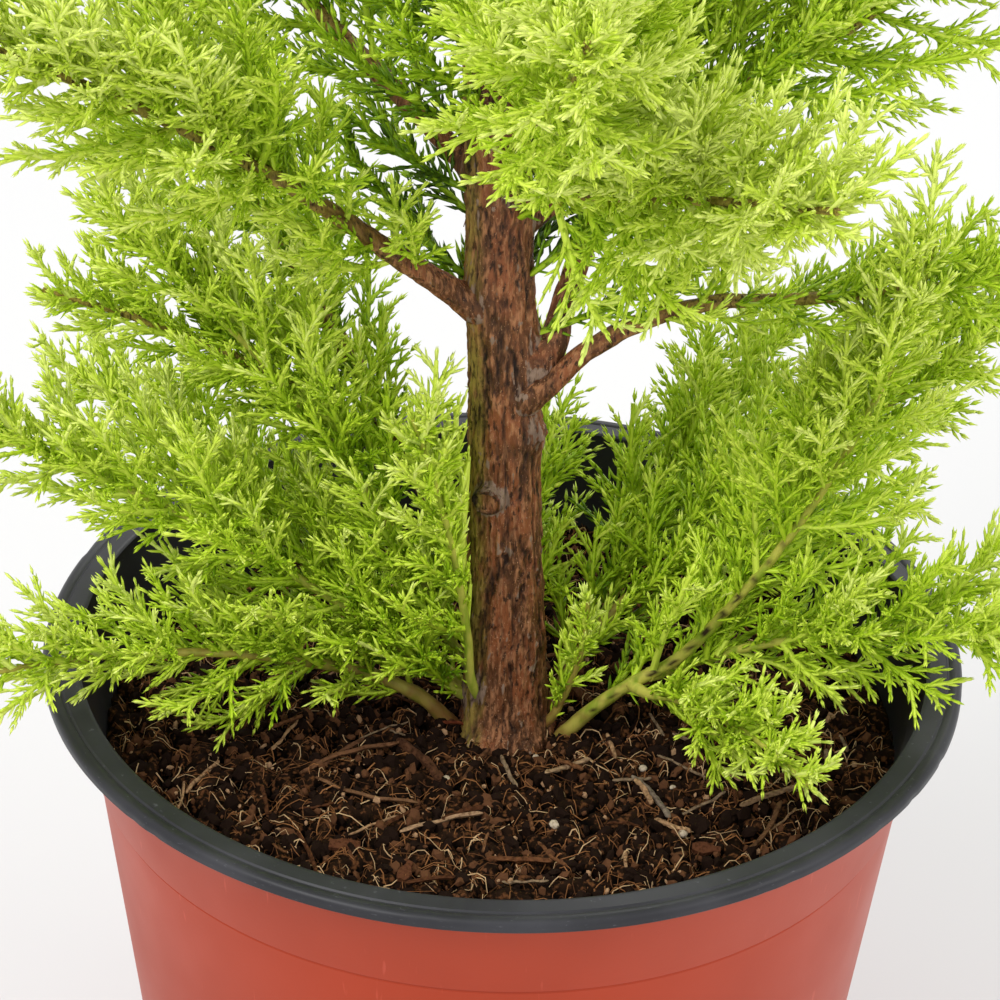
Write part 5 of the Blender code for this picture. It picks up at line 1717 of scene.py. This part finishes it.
def build_ground(settings, material):
    """The mix as one closed body with a fine uneven top."""
    steps, rings = GROUND_STEPS, GROUND_RINGS
    side = float(np.interp(SOIL_LEVEL, [SOIL_LOW.z, POT_HEIGHT - POT_SEAM_DROP,
                                        POT_HEIGHT - POT_NECK_DROP],
                           [POT_FOOT_RADIUS, POT_SEAM_RADIUS, POT_NECK_RADIUS]))
    side -= POT_WALL + LINING_WALL + GAP + 0.1 * MM
    points, relief = [Vector((0.0, 0.0, SOIL_LEVEL))], [0.5]
    for ring in range(1, rings + 1):
        radius = side * ring / rings
        for step in range(steps):
            x, y = polar(radius, math.tau * step / steps)
            rise, raised = ground_height(x, y, settings.relief)
            into = max(0.0, (radius - side + GROUND_BANK_WIDTH) / GROUND_BANK_WIDTH)
            banked = GROUND_BANK * into
            points.append(Vector((x, y, SOIL_LEVEL + rise - banked)))
            relief.append(raised)
    foot = len(points)
    floor = SOIL_LOW.z
    low_side = POT_FOOT_RADIUS - POT_WALL - LINING_WALL - 2.0 * GAP
    for step in range(steps):
        points.append(Vector((*polar(low_side, math.tau * step / steps), floor)))
        relief.append(0.5)
    points.append(Vector((0.0, 0.0, floor)))
    relief.append(0.5)
    faces = [(0, 1 + step, 1 + (step + 1) % steps) for step in range(steps)]
    for ring in range(rings):
        start = 1 + ring * steps
        for step in range(steps):
            after = (step + 1) % steps
            faces.append((start + step, start + steps + step, start + steps + after, start + after))
    faces += [(foot + (step + 1) % steps, foot + step, foot + steps) for step in range(steps)]
    mesh = mesh_from("mix", points, faces, values={"relief": relief})
    mesh.materials.append(material)
    tidy_normals(mesh, 80.0)
    return object_from("mix", mesh)


# The mix's top: points round it, rings of them, and how deep and how far from the wall it sinks.
GROUND_STEPS = 400
GROUND_RINGS = 90
GROUND_BANK = 0.8 * MM
GROUND_BANK_WIDTH = 7.0 * MM

# Crumbs on the mix: name, sRGB colour, share of all, smallest and largest radius in millimetres and
# seed. They keep to the inner part of the mix, clear of the wall.
CRUMBS = (
    ("crumbs_dark", (32, 19, 12), 0.5, 0.4, 2.0, 5),
    ("crumbs_brown", (98, 64, 42), 0.34, 0.3, 1.5, 6),
    ("crumbs_pale", (176, 138, 104), 0.16, 0.2, 0.8, 7),
)
CRUMB_SPREAD = 0.95
FIBRE_FIELD = 72.0 * MM              # radius within which fibres start
FIBRE_LIMIT = 72.6 * MM              # and at which they are cut off
FIBRE_LENGTHS = (1.8, 2.8, 4.4, 7.5)
FIBRE_PARTS = 4


def strewn_crumbs(settings, ground):
    """Loose crumbs of three kinds over the mix."""
    for name, colour, share, smallest, largest, seed in CRUMBS:
        copy = object_from(f"{name}_ground", ground.data.copy())
        copy.data.transform(Matrix.Diagonal((CRUMB_SPREAD, CRUMB_SPREAD, 1.0, 1.0)))
        coat, _, _ = shader_of(name, linear(colour), 0.9, 0.1)
        piece = grown(copy, "crumbs", name, {
            "Density": settings.crumbs * 10000.0 * share, "Smallest": smallest * MM,
            "Largest": largest * MM, "Roughness": 1.1, "Seed": seed, "Material": coat})
        finished(piece, ["soil"])


def strewn_fibres(settings):
    """Fine fibres of peat and bark that lie on the mix, in three colours."""
    kinds = (("fibres_rust", tuple(settings.fibre_colour), 0.46), ("fibres_brown",
             linear((96, 62, 38)), 0.28), ("fibres_straw", linear((214, 178, 134)), 0.26))
    draw = random.Random(905)
    for name, colour, share in kinds:
        paths = Paths()
        for _ in range(int(settings.fibres * share)):
            radius = FIBRE_FIELD * math.sqrt(draw.random())
            x, y = polar(radius, draw.uniform(0.0, math.tau))
            along = draw.uniform(0.0, math.tau)
            length = draw.choice(FIBRE_LENGTHS) * draw.uniform(0.7, 1.3) * MM
            thick = draw.uniform(0.06, 0.17) * MM
            swing = draw.uniform(-1.4, 1.4)
            lift = draw.uniform(0.0, 1.5) * MM
            path = []
            for part in range(FIBRE_PARTS + 1):
                if math.hypot(x, y) > FIBRE_LIMIT:
                    break
                rise, _ = ground_height(x, y, settings.relief)
                bow = math.sin(math.pi * part / FIBRE_PARTS)
                path.append(Vector((x, y, SOIL_LEVEL + rise + thick + lift * bow)))
                x += math.cos(along) * length / FIBRE_PARTS
                y += math.sin(along) * length / FIBRE_PARTS
                along += swing * 0.4
            if len(path) > 2:
                paths.add(path, thick, thick * 0.6)
        coat, _, _ = shader_of(name, colour, 0.8, 0.1)
        finished(paths.piece(name, coat), ["soil"])


# Sticks and root fibres on the mix: ends, thickness and lift in millimetres, bow and sRGB colour.
STICKS = (
    ((-36.2, -18.9), (-18.6, -9.1), 1.5, 1.0, 0.6, (120, 82, 56)),
    ((-32.8, -17.1), (-25.1, -8.2), 1.0, 1.2, 0.3, (104, 70, 48)),
    ((-33.2, -19.6), (-14.4, -27.2), 1.2, 0.8, -0.8, (128, 92, 64)),
    ((-17.3, -35.4), (-2.7, -29.8), 1.4, 0.6, 0.4, (182, 146, 112)),
    ((-1.8, -42.7), (9.8, -43.3), 1.6, 0.6, 0.3, (118, 76, 48)),
    ((-19.0, -7.8), (-10.7, -20.5), 2.0, 0.8, 0.5, (96, 62, 42)),
    ((-6.5, -19.4), (-1.7, -9.1), 1.1, 0.5, 0.4, (110, 74, 50)),
    ((8.3, -16.4), (16.6, -11.9), 1.3, 0.5, 0.2, (190, 156, 120)),
    ((24.2, -16.5), (30.8, -28.9), 1.4, 0.6, 0.4, (150, 134, 116)),
    ((43.6, -24.3), (54.8, -17.9), 1.2, 0.5, 0.3, (186, 150, 114)),
    ((43.9, -38.6), (51.0, -23.0), 1.3, 0.6, -0.5, (116, 82, 56)),
    ((-11.9, -1.3), (-2.3, -6.9), 0.8, 1.6, 1.2, (122, 62, 38)),
    ((-2.4, -40.2), (-0.6, -32.4), 0.9, 0.4, 0.4, (132, 92, 62)),
)
# Bark chips and pale grains: place and size in millimetres.
CHIPS = ((-26.8, -40.0, 5.5), (37.0, -37.5, 5.0), (-15.9, -47.2, 5.0))
GRAINS = ((-9.6, -18.3, 1.5), (10.2, -31.5, 2.2), (26.3, -13.2, 1.6), (31.6, -18.9, 1.4),
          (33.1, -32.7, 1.8), (6.6, -10.6, 1.3))


# Further sticks: how many are drawn, the field they start in, the free ring round the trunk, the
# radius they stay within, all in millimetres, and their sRGB colours.
MORE_STICKS = 86
STICK_FIELD = 68.0
STICK_CLEAR = 12.0
STICK_LIMIT = 70.0
STICK_SHADES = ((126, 84, 54), (186, 146, 108), (92, 56, 34), (150, 126, 100))
STICK_PARTS = 16


def stick_colour(colour, wear):
    """Numbers that keep the colour of one point."""
    return {"red": colour[0] * wear, "green": colour[1] * wear, "blue": colour[2] * wear}


def litter_material():
    """Woody litter that takes its colour from three numbers of each point, with a fine grain."""
    made, tree, shader = shader_of("litter", linear((130, 92, 62)), 0.85, 0.1)
    joined = add_node(tree, "ShaderNodeCombineColor", {
        index: add_number(tree, label) for index, label in enumerate(("red", "green", "blue"))})
    grain, height = add_grain(tree, 1500.0, 1.0, 4.0, 0.45, 0.72)
    darker = add_node(tree, "ShaderNodeMix", {
        0: grain, 6: joined.outputs[0], 7: (0.45, 0.4, 0.36, 1.0)},
        data_type="RGBA", blend_type="MULTIPLY")
    dress(tree, shader, darker.outputs[2], height, 0.6, 0.0004)
    return made


def build_litter(settings):
    """Sticks, root fibres, bark chips and grains on the mix, where they lie in the picture."""
    surface = Surface("red", "green", "blue")
    draw = random.Random(44)
    rows = list(STICKS)
    for _ in range(MORE_STICKS):
        radius = STICK_FIELD * math.sqrt(draw.random())
        x, y = polar(radius, draw.uniform(0.0, math.tau))
        if math.hypot(x, y) < STICK_CLEAR:
            continue
        length = draw.uniform(3.5, 12.0)
        aim = draw.uniform(0.0, math.tau)
        far = (x + math.cos(aim) * length, y + math.sin(aim) * length)
        if math.hypot(*far) < STICK_LIMIT:
            shade = draw.choice(STICK_SHADES)
            rows.append(((x, y), far, draw.uniform(0.5, 1.3), draw.uniform(0.2, 1.6),
                         draw.uniform(-0.5, 0.5), shade))
    for start, end, thick, lift, bow, colour in rows:
        colour = linear(colour)
        path = []
        for index in range(STICK_PARTS + 1):
            share = index / STICK_PARTS
            x = mix(start[0], end[0], share) * MM
            y = mix(start[1], end[1], share) * MM
            curve = math.sin(math.pi * share) * bow * MM
            x, y = x - (end[1] - start[1]) * curve * 0.12, y + (end[0] - start[0]) * curve * 0.12
            bump = noise.noise(Vector((share * 4.0, start[0], start[1])))
            path.append(Vector((x, y, SOIL_LEVEL + (0.3 + lift * (0.4 + 0.6 * share) + 0.5 * bump
                                                    + thick * 0.3) * MM)))

        def skin(share, turn, centre, out, thick=thick, colour=colour, seed=start[0]):
            """Uneven skin of one stick."""
            place = Vector((math.cos(turn) * 1.3, math.sin(turn) * 1.3, share * 9.0 + seed))
            rough = noise.fractal(place, 0.8, 2.0, 3)
            ends = min(1.0, share * 14.0 + 0.45, (1.0 - share) * 14.0 + 0.45)
            wear = 0.8 + 0.7 * noise.noise(place * 1.7)
            flat = 0.78 + 0.3 * abs(math.cos(turn + start[0]))
            return (thick * 0.4 * MM * ends * flat * (1.0 + 0.3 * rough),
                    stick_colour(colour, wear))

        surface.tube(path, skin, 6)
    chip = linear((96, 58, 38))
    for x, y, size in CHIPS:
        turn = draw.uniform(0.0, math.tau)
        along = Vector((math.cos(turn), math.sin(turn), draw.uniform(-0.2, 0.3))).normalized()
        normal = Vector((draw.uniform(-0.3, 0.3), draw.uniform(-0.3, 0.3), 1.0)).normalized()
        centre = Vector((x * MM, y * MM, SOIL_LEVEL + 0.7 * MM))
        surface.plate(centre, normal, along, size * MM, size * 0.62 * MM, 0.8 * MM, 0.3 * MM,
                      stick_colour(chip, 1.0))
    for x, y, size in GRAINS:
        centre = Vector((x * MM, y * MM, SOIL_LEVEL + size * 0.3 * MM))
        pale = linear((214, 196, 172))

        def round_skin(share, turn, middle, out, size=size, pale=pale):
            """Skin of one grain."""
            round_off = math.sqrt(max(0.02, 1.0 - (2.0 * share - 1.0) ** 2))
            return size * 0.5 * MM * round_off, stick_colour(pale, 0.9)

        path = [centre + Vector((0.0, 0.0, (share - 0.5) * size * 0.8 * MM))
                for share in (0.0, 0.2, 0.4, 0.6, 0.8, 1.0)]
        surface.tube(path, round_skin, 8)
    return finished(surface.piece("litter", litter_material()), ["soil"])


def around(turn, azimuth):
    """Smallest angle in radians between a turn and an azimuth in degrees."""
    return abs((turn - math.radians(azimuth) + math.pi) % math.tau - math.pi)


def scars_of(limbs, masses):
    """Places on the trunk where limbs leave it: height, azimuth and radius of the swelling."""
    found = []
    for path, radius in ([(limb.path, limb.radii[0]) for limb in limbs.values()]
                         + [(mass.path, mass.foot_radius) for mass in masses]):
        height = path[0].z - SOIL_LEVEL
        if not 6.0 * MM < height < TRUNK_TOP - 4.0 * MM:
            continue
        out = path[0] - trunk_point(height)
        if out.length < trunk_radius(height) + radius + 2.0 * MM:
            found.append((height, math.degrees(math.atan2(out.y, out.x)), radius))
    return found


def trunk_skin(settings, scars):
    """Function that shapes the bark of the trunk and colours it by number."""
    toes = [(azimuth, 0.36 + 0.05 * index, 2.6 * MM - 0.3 * MM * index)
            for index, azimuth in enumerate(TOE_AZIMUTHS)]

    def skin(_, __, centre, out):
        """Radius and numbers of one point of the trunk."""
        height = centre.z - SOIL_LEVEL
        turn = math.atan2(out.y, out.x) % math.tau
        base = trunk_radius(max(0.0, height))
        ring = 0.0

        def off_from(spot, squash=1.0):
            """Distance from a spot on the bark, its upright part squashed."""
            return math.hypot(around(turn, spot[1]) * base, (height - spot[0] * MM) * squash)

        size = min(1.0, base / TRUNK_RADIUS)
        young = clamp((height - 0.2) / 0.2)
        place = Vector((math.cos(turn) * base, math.sin(turn) * base, 0.0)) / MM
        place.z = height / MM
        drawn_out = Vector((place.x * 1.5, place.y * 1.5, place.z * 0.16))
        strings = noise.fractal(drawn_out, 0.8, 2.0, 4)
        coarse = Vector((place.x * 0.75, place.y * 0.75, place.z * 0.28))
        flakes = noise.fractal(coarse, 0.7, 2.1, 4)
        twist = Vector((place.x / 4.4, place.y / 4.4, place.z / 26.0 + 0.25 * flakes))
        near = noise.voronoi(twist, distance_metric="DISTANCE", exponent=2.5)[0]
        ridge = min(1.0, (near[1] - near[0]) / CRACK_WIDTH)
        crack = (1.0 - ridge) * (0.35 + 0.65 * clamp(0.5 + flakes * 1.4))
        flute = math.cos(3.0 * turn + height * 30.0) * math.exp(-height / 0.05)
        radius = base + 0.35 * MM * size + flute * 0.3 * MM
        radius += (0.17 * strings + 0.2 * flakes) * size * MM - settings.relief * crack * size
        radius += 0.22 * MM * size * max(0.0, 1.0 - abs(ridge - 0.9) * 6.0) * (0.5 + flakes)
        for azimuth, wide, reach in toes:
            lobe = bell(around(turn, azimuth), wide)
            radius += reach * lobe * math.exp(-max(0.0, height) / (5.0 * MM))
        grey = max(0.0, flakes * 1.6 - 0.62)
        for scar_height, azimuth, scar in scars:
            off = math.hypot(around(turn, azimuth) * base, (height - scar_height) * 0.8)
            if off < scar * FOOT_SCAR:
                near_scar = 1.0 - off / (scar * FOOT_SCAR)
                radius += scar * 0.7 * near_scar ** 2
                grey = max(grey, (near_scar * 1.5 + strings * 0.5 - 0.35) * size)
        off = off_from(STUB)
        if off < STUB_PAPER:
            swell = clamp((STUB_DISC - off) / (0.9 * MM))
            radius += STUB_RISE * swell * swell * (3.0 - 2.0 * swell)
            lip = bell(off - STUB_LIP, 0.3 * MM)
            radius += 0.25 * MM * lip - (0.3 * MM if off < STUB_SUNK else 0.0)
            ring = bell(off - STUB_LIP, 0.32 * MM)
            grey = max(grey, min(1.0, (STUB_PAPER - off) / (1.4 * MM)) * (0.75 + 0.4 * strings))
            grey *= clamp((off - 2.0 * MM) / (0.3 * MM))
        radius += BURL_RISE * bell(off_from(BURL, 0.7), BURL_WIDTH)
        lump = bell(off_from(KNOB, 0.8), KNOB_WIDTH)
        radius += KNOB_RISE * lump * (1.0 + 0.3 * flakes)
        grey = max(grey, min(1.0, lump * 1.5) * (0.5 + strings))
        # Painted shade: relief is low in the cracks, which are cut into the radius too, so the
        # material colours them dark; the ring round the cut disc is dark as well.
        relief = 1.05 + 0.7 * strings + 0.5 * flakes - 1.15 * crack - ring
        flank = max(0.0, 1.0 - around(turn, MOSS_AZIMUTH) / MOSS_WIDTH)
        flank *= 1.0 if height < MOSS_TOP else 0.55
        green = flank * max(0.0, 0.95 + 1.2 * flakes) * 1.5 + 0.12 * young
        return radius, {"relief": clamp(relief), "grey": clamp(grey),
                        "green": clamp(green) * 0.8}

    return skin


def build_trunk(settings, limbs, masses, coat):
    """The trunk from its roots' flare to its tip, with stringy, cracked bark."""
    heights = []
    height = -2.0 * MM
    while height < TRUNK_TOP + 0.5 * MM:
        heights.append(height)
        height += TRUNK_RINGS[height >= TRUNK_FINE_TOP]
    path = [trunk_point(height) for height in heights]
    surface = Surface("relief", "grey", "green")
    surface.tube(path, trunk_skin(settings, scars_of(limbs, masses)), TRUNK_SIDES)
    return finished(surface.piece("trunk_bark", coat), ["trunk"])


def build_flakes(limbs, masses, coat):
    """Loose strips and papery scales of bark on the trunk, more of them round the boughs' feet."""
    surface = Surface("relief", "grey", "green")
    draw = random.Random(88)
    rows = []
    for _ in range(LOOSE_FLAKES):
        low = draw.random() < 0.8
        height = draw.uniform(0.012, FLAKES_TOP) if low else draw.uniform(FLAKES_TOP, 0.4)
        rows.append((height, draw.uniform(0.0, 360.0), draw.uniform(1.6, 5.5),
                     draw.uniform(0.5, 1.3)))
    for height, azimuth, scar in scars_of(limbs, masses):
        if height < FLAKES_TOP:
            for _ in range(FLAKES_PER_FOOT):
                off = draw.uniform(-1.0, 1.0)
                rows.append((height - scar * draw.uniform(0.6, 2.0), azimuth + off * 28.0,
                             draw.uniform(1.5, 3.6), draw.uniform(0.6, 1.3)))
    for height, azimuth, length, width in rows:
        out = heading(azimuth, 0.0)
        lean = heading(azimuth + draw.uniform(-90.0, 90.0), draw.uniform(70.0, 90.0))
        if draw.random() < 0.4:
            lean = -lean
        centre = trunk_point(height) + out * (trunk_radius(height) + 0.02 * MM)
        surface.plate(centre, out, lean, length * MM, width * MM, FLAKE_THICKNESS,
                      draw.uniform(0.15, 0.9) * MM * length / 5.0,
                      {"relief": draw.uniform(0.7, 1.0), "grey": draw.uniform(0.0, 0.9),
                       "green": 0.0})
    return finished(surface.piece("bark_flakes", coat, 60.0), ["trunk"])


def inner_point(path, radius, boughs):
    """The place inside its host from which a limb that starts beside it grows."""
    start = path[0]
    aim = (path[1] - start).normalized()
    height = start.z - SOIL_LEVEL
    off = (start - trunk_point(height)).length - trunk_radius(height) - radius
    if off < HOST_REACH * MM:
        back = start - aim * (trunk_radius(height) * 0.9)
        centre = trunk_point(max(0.0, back.z - SOIL_LEVEL))
        return back.lerp(centre, 0.5)
    nearest, line = None, None
    for bough in boughs:
        for first, second in zip(bough, bough[1:]):
            along = second - first
            share = clamp((start - first).dot(along) / along.dot(along))
            place = first + along * share
            if nearest is None or (place - start).length < (nearest - start).length:
                nearest, line = place, along.normalized()
    return nearest - line * (2.0 * MM)


def limb_tube(surface, path, radii, seed, flare, sunk, scarred, aged):
    """A limb that tapers through its radii, flared where it comes out of its host.

    With None for scarred it is woody and turns green along its way; else it is a low stem, pale
    green, more or less scarred and aged."""
    length = length_of(path)
    count = max(8, int(length / (1.15 * MM)))
    line = smooth_path(path, count)
    shares = np.cumsum([0.0] + [(b - a).length for a, b in zip(path, path[1:])])
    shares = shares / shares[-1]
    sides = 20 if radii[0] > 1.8 * MM else 12

    def skin(share, turn, centre, out):
        """Radius and numbers of one point of the limb."""
        radius = float(np.interp(share, shares, radii))
        foot = math.exp(-max(0.0, share * length - sunk) / (2.2 * MM))
        place = Vector((math.cos(turn), math.sin(turn), 0.0)) * (radius / MM)
        place.z = share * length / MM + seed * 17.0
        strings = noise.fractal(Vector((place.x * 1.6, place.y * 1.6, place.z * 0.35)), 0.8, 2.0, 3)
        knots = noise.noise(Vector((place.x * 0.3, place.y * 0.3, place.z * 0.22)))
        wide = radius * (1.0 + flare * foot + 0.1 * strings + 0.12 * knots)
        green = (share - GREEN_FROM) * 3.2 + 0.3 * strings
        if scarred is None:
            # On woody limbs a low relief, where the strings sink into the radius, paints shade into
            # the grooves.
            values = {"green": clamp(green), "grey": clamp(foot - 0.35
                                                                             + strings),
                      "relief": min(1.0, max(0.3, 0.95 + 0.8 * strings))}
            return wide, values
        face = (Vector(CAMERA_PLACE) - centre).normalized()
        aside = math.acos(max(-1.0, min(1.0, out.dot(face)))) * radius
        reached = share * length / SCAR_SPACING
        beside = (reached - round(reached)) * SCAR_SPACING
        spot = (beside / SCAR_LENGTH) ** 2 + (aside / SCAR_WIDTH) ** 2
        edge = max(0.0, math.sin(place.z * 1.15 + 1.4 * math.sin(turn))) ** 6
        values = {"brown": clamp(1.1 * math.exp(-share * length / (7.0 * MM))
                                        + 0.25 * strings + 0.35 * edge + aged),
                  "scar": clamp((1.0 - spot + 0.5 * strings) * 3.0) * scarred
                  * clamp(3.0 - share * 5.0)}
        return wide * (1.0 + 0.06 * edge), values

    surface.tube(line, skin, sides)


def build_limbs(limbs, masses, coat, young_coat):
    """Boughs and stems, each one tapering limb from inside its host to the tip of its mass."""
    woody = Surface("relief", "grey", "green")
    fresh = Surface("brown", "scar")
    names = {True: [], False: []}
    for number, mass in enumerate(masses):
        bough = bough_of(mass, limbs)
        low = "_low_" in mass.name or mass.name == "foliage_sprig"
        bears = [limb.path for limb in limbs.values() if limb is not bough]
        names[low].append(mass.name)
        parts = len(mass.path) - 1
        if bough:
            names[low].append(bough.name)
            path = [*bough.path, *mass.path[1:]]
            radii = [mix(bough.radii[0], bough.radii[1], index / 4.0)
                     for index in range(len(bough.path))]
            middle = radii[-1]
        else:
            path = list(mass.path)
            radii = [mass.foot_radius * STEM_SLIMMER]
            middle = radii[0]
        radii += [mix(middle, STEM_TIP_RADIUS, (index / parts) ** 0.8)
                  for index in range(1, parts + 1)]
        if low:
            radii = [radius * LOW_STEM_SLIMMER for radius in radii]
        from_mix = bough is not None and path[0].z < SOIL_LEVEL + 1.0 * MM
        if from_mix:
            start = path[0] - (path[1] - path[0]).normalized() * (5.0 * MM)
        else:
            start = inner_point(path, radii[0], bears)
        path = [start, *path]
        radii = [radii[0], *radii]
        flare = 0.0 if from_mix else (0.75 if bough else 0.4)
        sunk = 0.0 if from_mix else (path[1] - path[0]).length * 0.6
        shown = mass.name == "foliage_low_right"
        aged = 0.0 if shown else 0.4
        if not bough and (path[2] - trunk_point(0.0)).length > 20.0 * MM:
            aged = -1.0
        scarred = float(shown) if low else None
        limb_tube(fresh if low else woody, path, radii, number, flare, sunk, scarred, aged)
    finished(woody.piece("bark_of_boughs", coat), names[False])
    finished(fresh.piece("bark_of_low_stems", young_coat), names[True])


def bough_of(mass, limbs):
    """The bough at whose tip a mass stands, if there is one."""
    for limb in limbs.values():
        if (limb.path[-1] - mass.path[0]).length < 3.0 * MM:
            return limb
    return None


def build_foliage(settings, limbs, masses):
    """Grows all shoots and needles and joins them by shade into pieces."""
    note_bare_lines(limbs, masses)
    space = Space(limbs, masses)
    foliage = Foliage()
    for owner, mass in enumerate(masses):
        grow_mass(foliage, space, owner, mass, bough_of(mass, limbs))
    grow_trunk_twigs(foliage, space)
    names = [mass.name for mass in masses]
    length = NEEDLES["spray"][1] * MM * settings.needle_size
    for shade, (label, colour) in enumerate(SHADES):
        coat = shader_of(f"foliage_{label}", linear(colour), 0.42, 0.35)[0]
        if foliage.shoots[shade].points:
            piece = foliage.shoots[shade].piece(f"shoots_{label}", coat, 3, settings.shoot_width)
            finished(piece, names)
        for form, faces in (("blunt", BLUNT_FACES), ("slim", SLIM_FACES)):
            if not foliage.needles[form][shade]:
                continue
            rows = np.concatenate(foliage.needles[form][shade])
            count = math.ceil(len(rows) * faces / PIECE_FACES)
            for part, chunk in enumerate(np.array_split(rows, count)):
                name = f"needles_{label}_{form}_{part + 1}"
                mesh = mesh_from(name, chunk[:, 0:3].tolist(), values={
                    "aim": chunk[:, 3:6], "side": chunk[:, 6:9], "grow": chunk[:, 9:12]})
                piece = grown(object_from(name, mesh), form, name, {
                    "Length": length, "Width": settings.needle_width,
                    "Bend": length * settings.needle_bend, "Material": coat})
                finished(piece, names)


def light(name, place, target, size, power):
    """A soft square area light aimed at a point."""
    data = bpy.data.lights.new(name, "AREA")
    data.energy = power
    data.size = size
    made = bpy.data.objects.new(name, data)
    made.location = place
    aim = Vector(target) - Vector(place)
    made.rotation_euler = aim.to_track_quat("-Z", "Y").to_euler()
    bpy.context.scene.collection.objects.link(made)


def build_stage(settings):
    """Pale floor and surround, soft lights and the camera."""
    scene = bpy.context.scene
    corners = [(x * FLOOR_HALF, y * FLOOR_HALF, 0.0)
               for x, y in ((-1, -1), (1, -1), (1, 1), (-1, 1))]
    floor = object_from("floor", mesh_from("floor", corners, [(0, 1, 2, 3)]))
    coat, _, _ = shader_of("floor", tuple(settings.floor_colour), 0.9)
    floor.data.materials.append(coat)
    world = scene.world or bpy.data.worlds.new("surround")
    scene.world = world
    world.use_nodes = True
    background = world.node_tree.nodes["Background"]
    background.inputs["Color"].default_value = (1.0, 1.0, 1.0, 1.0)
    background.inputs["Strength"].default_value = settings.surround
    for row in LIGHTS:
        light(*row)
    data = bpy.data.cameras.new("camera")
    data.lens = settings.lens
    data.sensor_width = SENSOR_WIDTH
    data.clip_start = CLIP_START
    camera = bpy.data.objects.new("camera", data)
    yaw, pitch, roll = CAMERA_TURNS
    forward = Vector((math.sin(yaw) * math.cos(pitch), math.cos(yaw) * math.cos(pitch),
                      -math.sin(pitch)))
    right = Vector((math.cos(yaw), -math.sin(yaw), 0.0))
    up = right.cross(forward)
    across = right * math.cos(roll) + up * math.sin(roll)
    upright = up * math.cos(roll) - right * math.sin(roll)
    camera.matrix_world = Matrix((
        (across.x, upright.x, -forward.x, CAMERA_PLACE[0]),
        (across.y, upright.y, -forward.y, CAMERA_PLACE[1]),
        (across.z, upright.z, -forward.z, CAMERA_PLACE[2]),
        (0.0, 0.0, 0.0, 1.0)))
    scene.collection.objects.link(camera)
    scene.camera = camera
    scene.view_settings.view_transform = "Standard"


class CYPRESS_OT_pot(bpy.types.Operator):
    """Build the wall and the rim of the pot"""

    bl_idname = "cypress.pot"
    bl_label = "Pot"

    def execute(self, context):
        """Builds the pieces."""
        settings = context.scene.cypress_pot
        build_wall(settings)
        build_rim(settings)
        return {"FINISHED"}


class CYPRESS_OT_soil(bpy.types.Operator):
    """Build the potting mix with its crumbs, fibres and sticks"""

    bl_idname = "cypress.soil"
    bl_label = "Potting mix"

    def execute(self, context):
        """Builds the pieces."""
        settings = context.scene.cypress_soil
        ground = build_ground(settings, soil_material(settings))
        strewn_crumbs(settings, ground)
        strewn_fibres(settings)
        build_litter(settings)
        finished(ground, ["soil"])
        return {"FINISHED"}


class CYPRESS_OT_limbs(bpy.types.Operator):
    """Build the trunk, the boughs and the low stems"""

    bl_idname = "cypress.limbs"
    bl_label = "Trunk and boughs"

    def execute(self, context):
        """Builds the pieces."""
        settings = context.scene.cypress_bark
        coat = bark_material(settings)
        limbs = plan_limbs()
        masses = plan_masses(limbs)
        build_trunk(settings, limbs, masses, coat)
        build_flakes(limbs, masses, coat)
        build_limbs(limbs, masses, coat, green_bark_material())
        return {"FINISHED"}


class CYPRESS_OT_foliage(bpy.types.Operator):
    """Grow the shoots and the needles of the crown"""

    bl_idname = "cypress.foliage"
    bl_label = "Foliage"

    def execute(self, context):
        """Builds the pieces."""
        limbs = plan_limbs()
        masses = plan_masses(limbs)
        build_foliage(context.scene.cypress_foliage, limbs, masses)
        return {"FINISHED"}


class CYPRESS_OT_stage(bpy.types.Operator):
    """Set up the floor, the light and the camera"""

    bl_idname = "cypress.stage"
    bl_label = "Stage"

    def execute(self, context):
        """Builds the stage."""
        build_stage(context.scene.cypress_stage)
        return {"FINISHED"}


class CYPRESS_PT_sidebar(bpy.types.Panel):
    """Settings and steps of the plant in the 3D view's sidebar"""

    bl_idname = "CYPRESS_PT_sidebar"
    bl_label = "Potted lemon cypress"
    bl_space_type = "VIEW_3D"
    bl_region_type = "UI"
    bl_category = "Cypress"

    def draw(self, context):
        """Lists the settings above the step that uses them."""
        for label, step in STEPS:
            box = self.layout.box()
            settings = getattr(context.scene, label)
            for entry in settings.__annotations__:
                box.prop(settings, entry)
            box.operator(f"cypress.{step}")


STEPS = (
    ("cypress_pot", "pot"),
    ("cypress_soil", "soil"),
    ("cypress_bark", "limbs"),
    ("cypress_foliage", "foliage"),
    ("cypress_stage", "stage"),
)
SETTINGS = (PotSettings, SoilSettings, BarkSettings, FoliageSettings, StageSettings)
CLASSES = (*SETTINGS, CYPRESS_OT_pot, CYPRESS_OT_soil, CYPRESS_OT_limbs, CYPRESS_OT_foliage,
           CYPRESS_OT_stage, CYPRESS_PT_sidebar)


def register():
    """Adds the settings, the steps and the panel."""
    for entry in CLASSES:
        bpy.utils.register_class(entry)
    for (label, _), settings in zip(STEPS, SETTINGS):
        setattr(bpy.types.Scene, label, PointerProperty(type=settings))


def unregister():
    """Takes the settings, the steps and the panel away again."""
    for label, _ in STEPS:
        delattr(bpy.types.Scene, label)
    for entry in reversed(CLASSES):
        bpy.utils.unregister_class(entry)


def main():
    """Builds the whole picture."""
    register()
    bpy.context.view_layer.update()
    for _, step in STEPS:
        getattr(bpy.ops.cypress, step)()


if __name__ == "__main__":
    main()
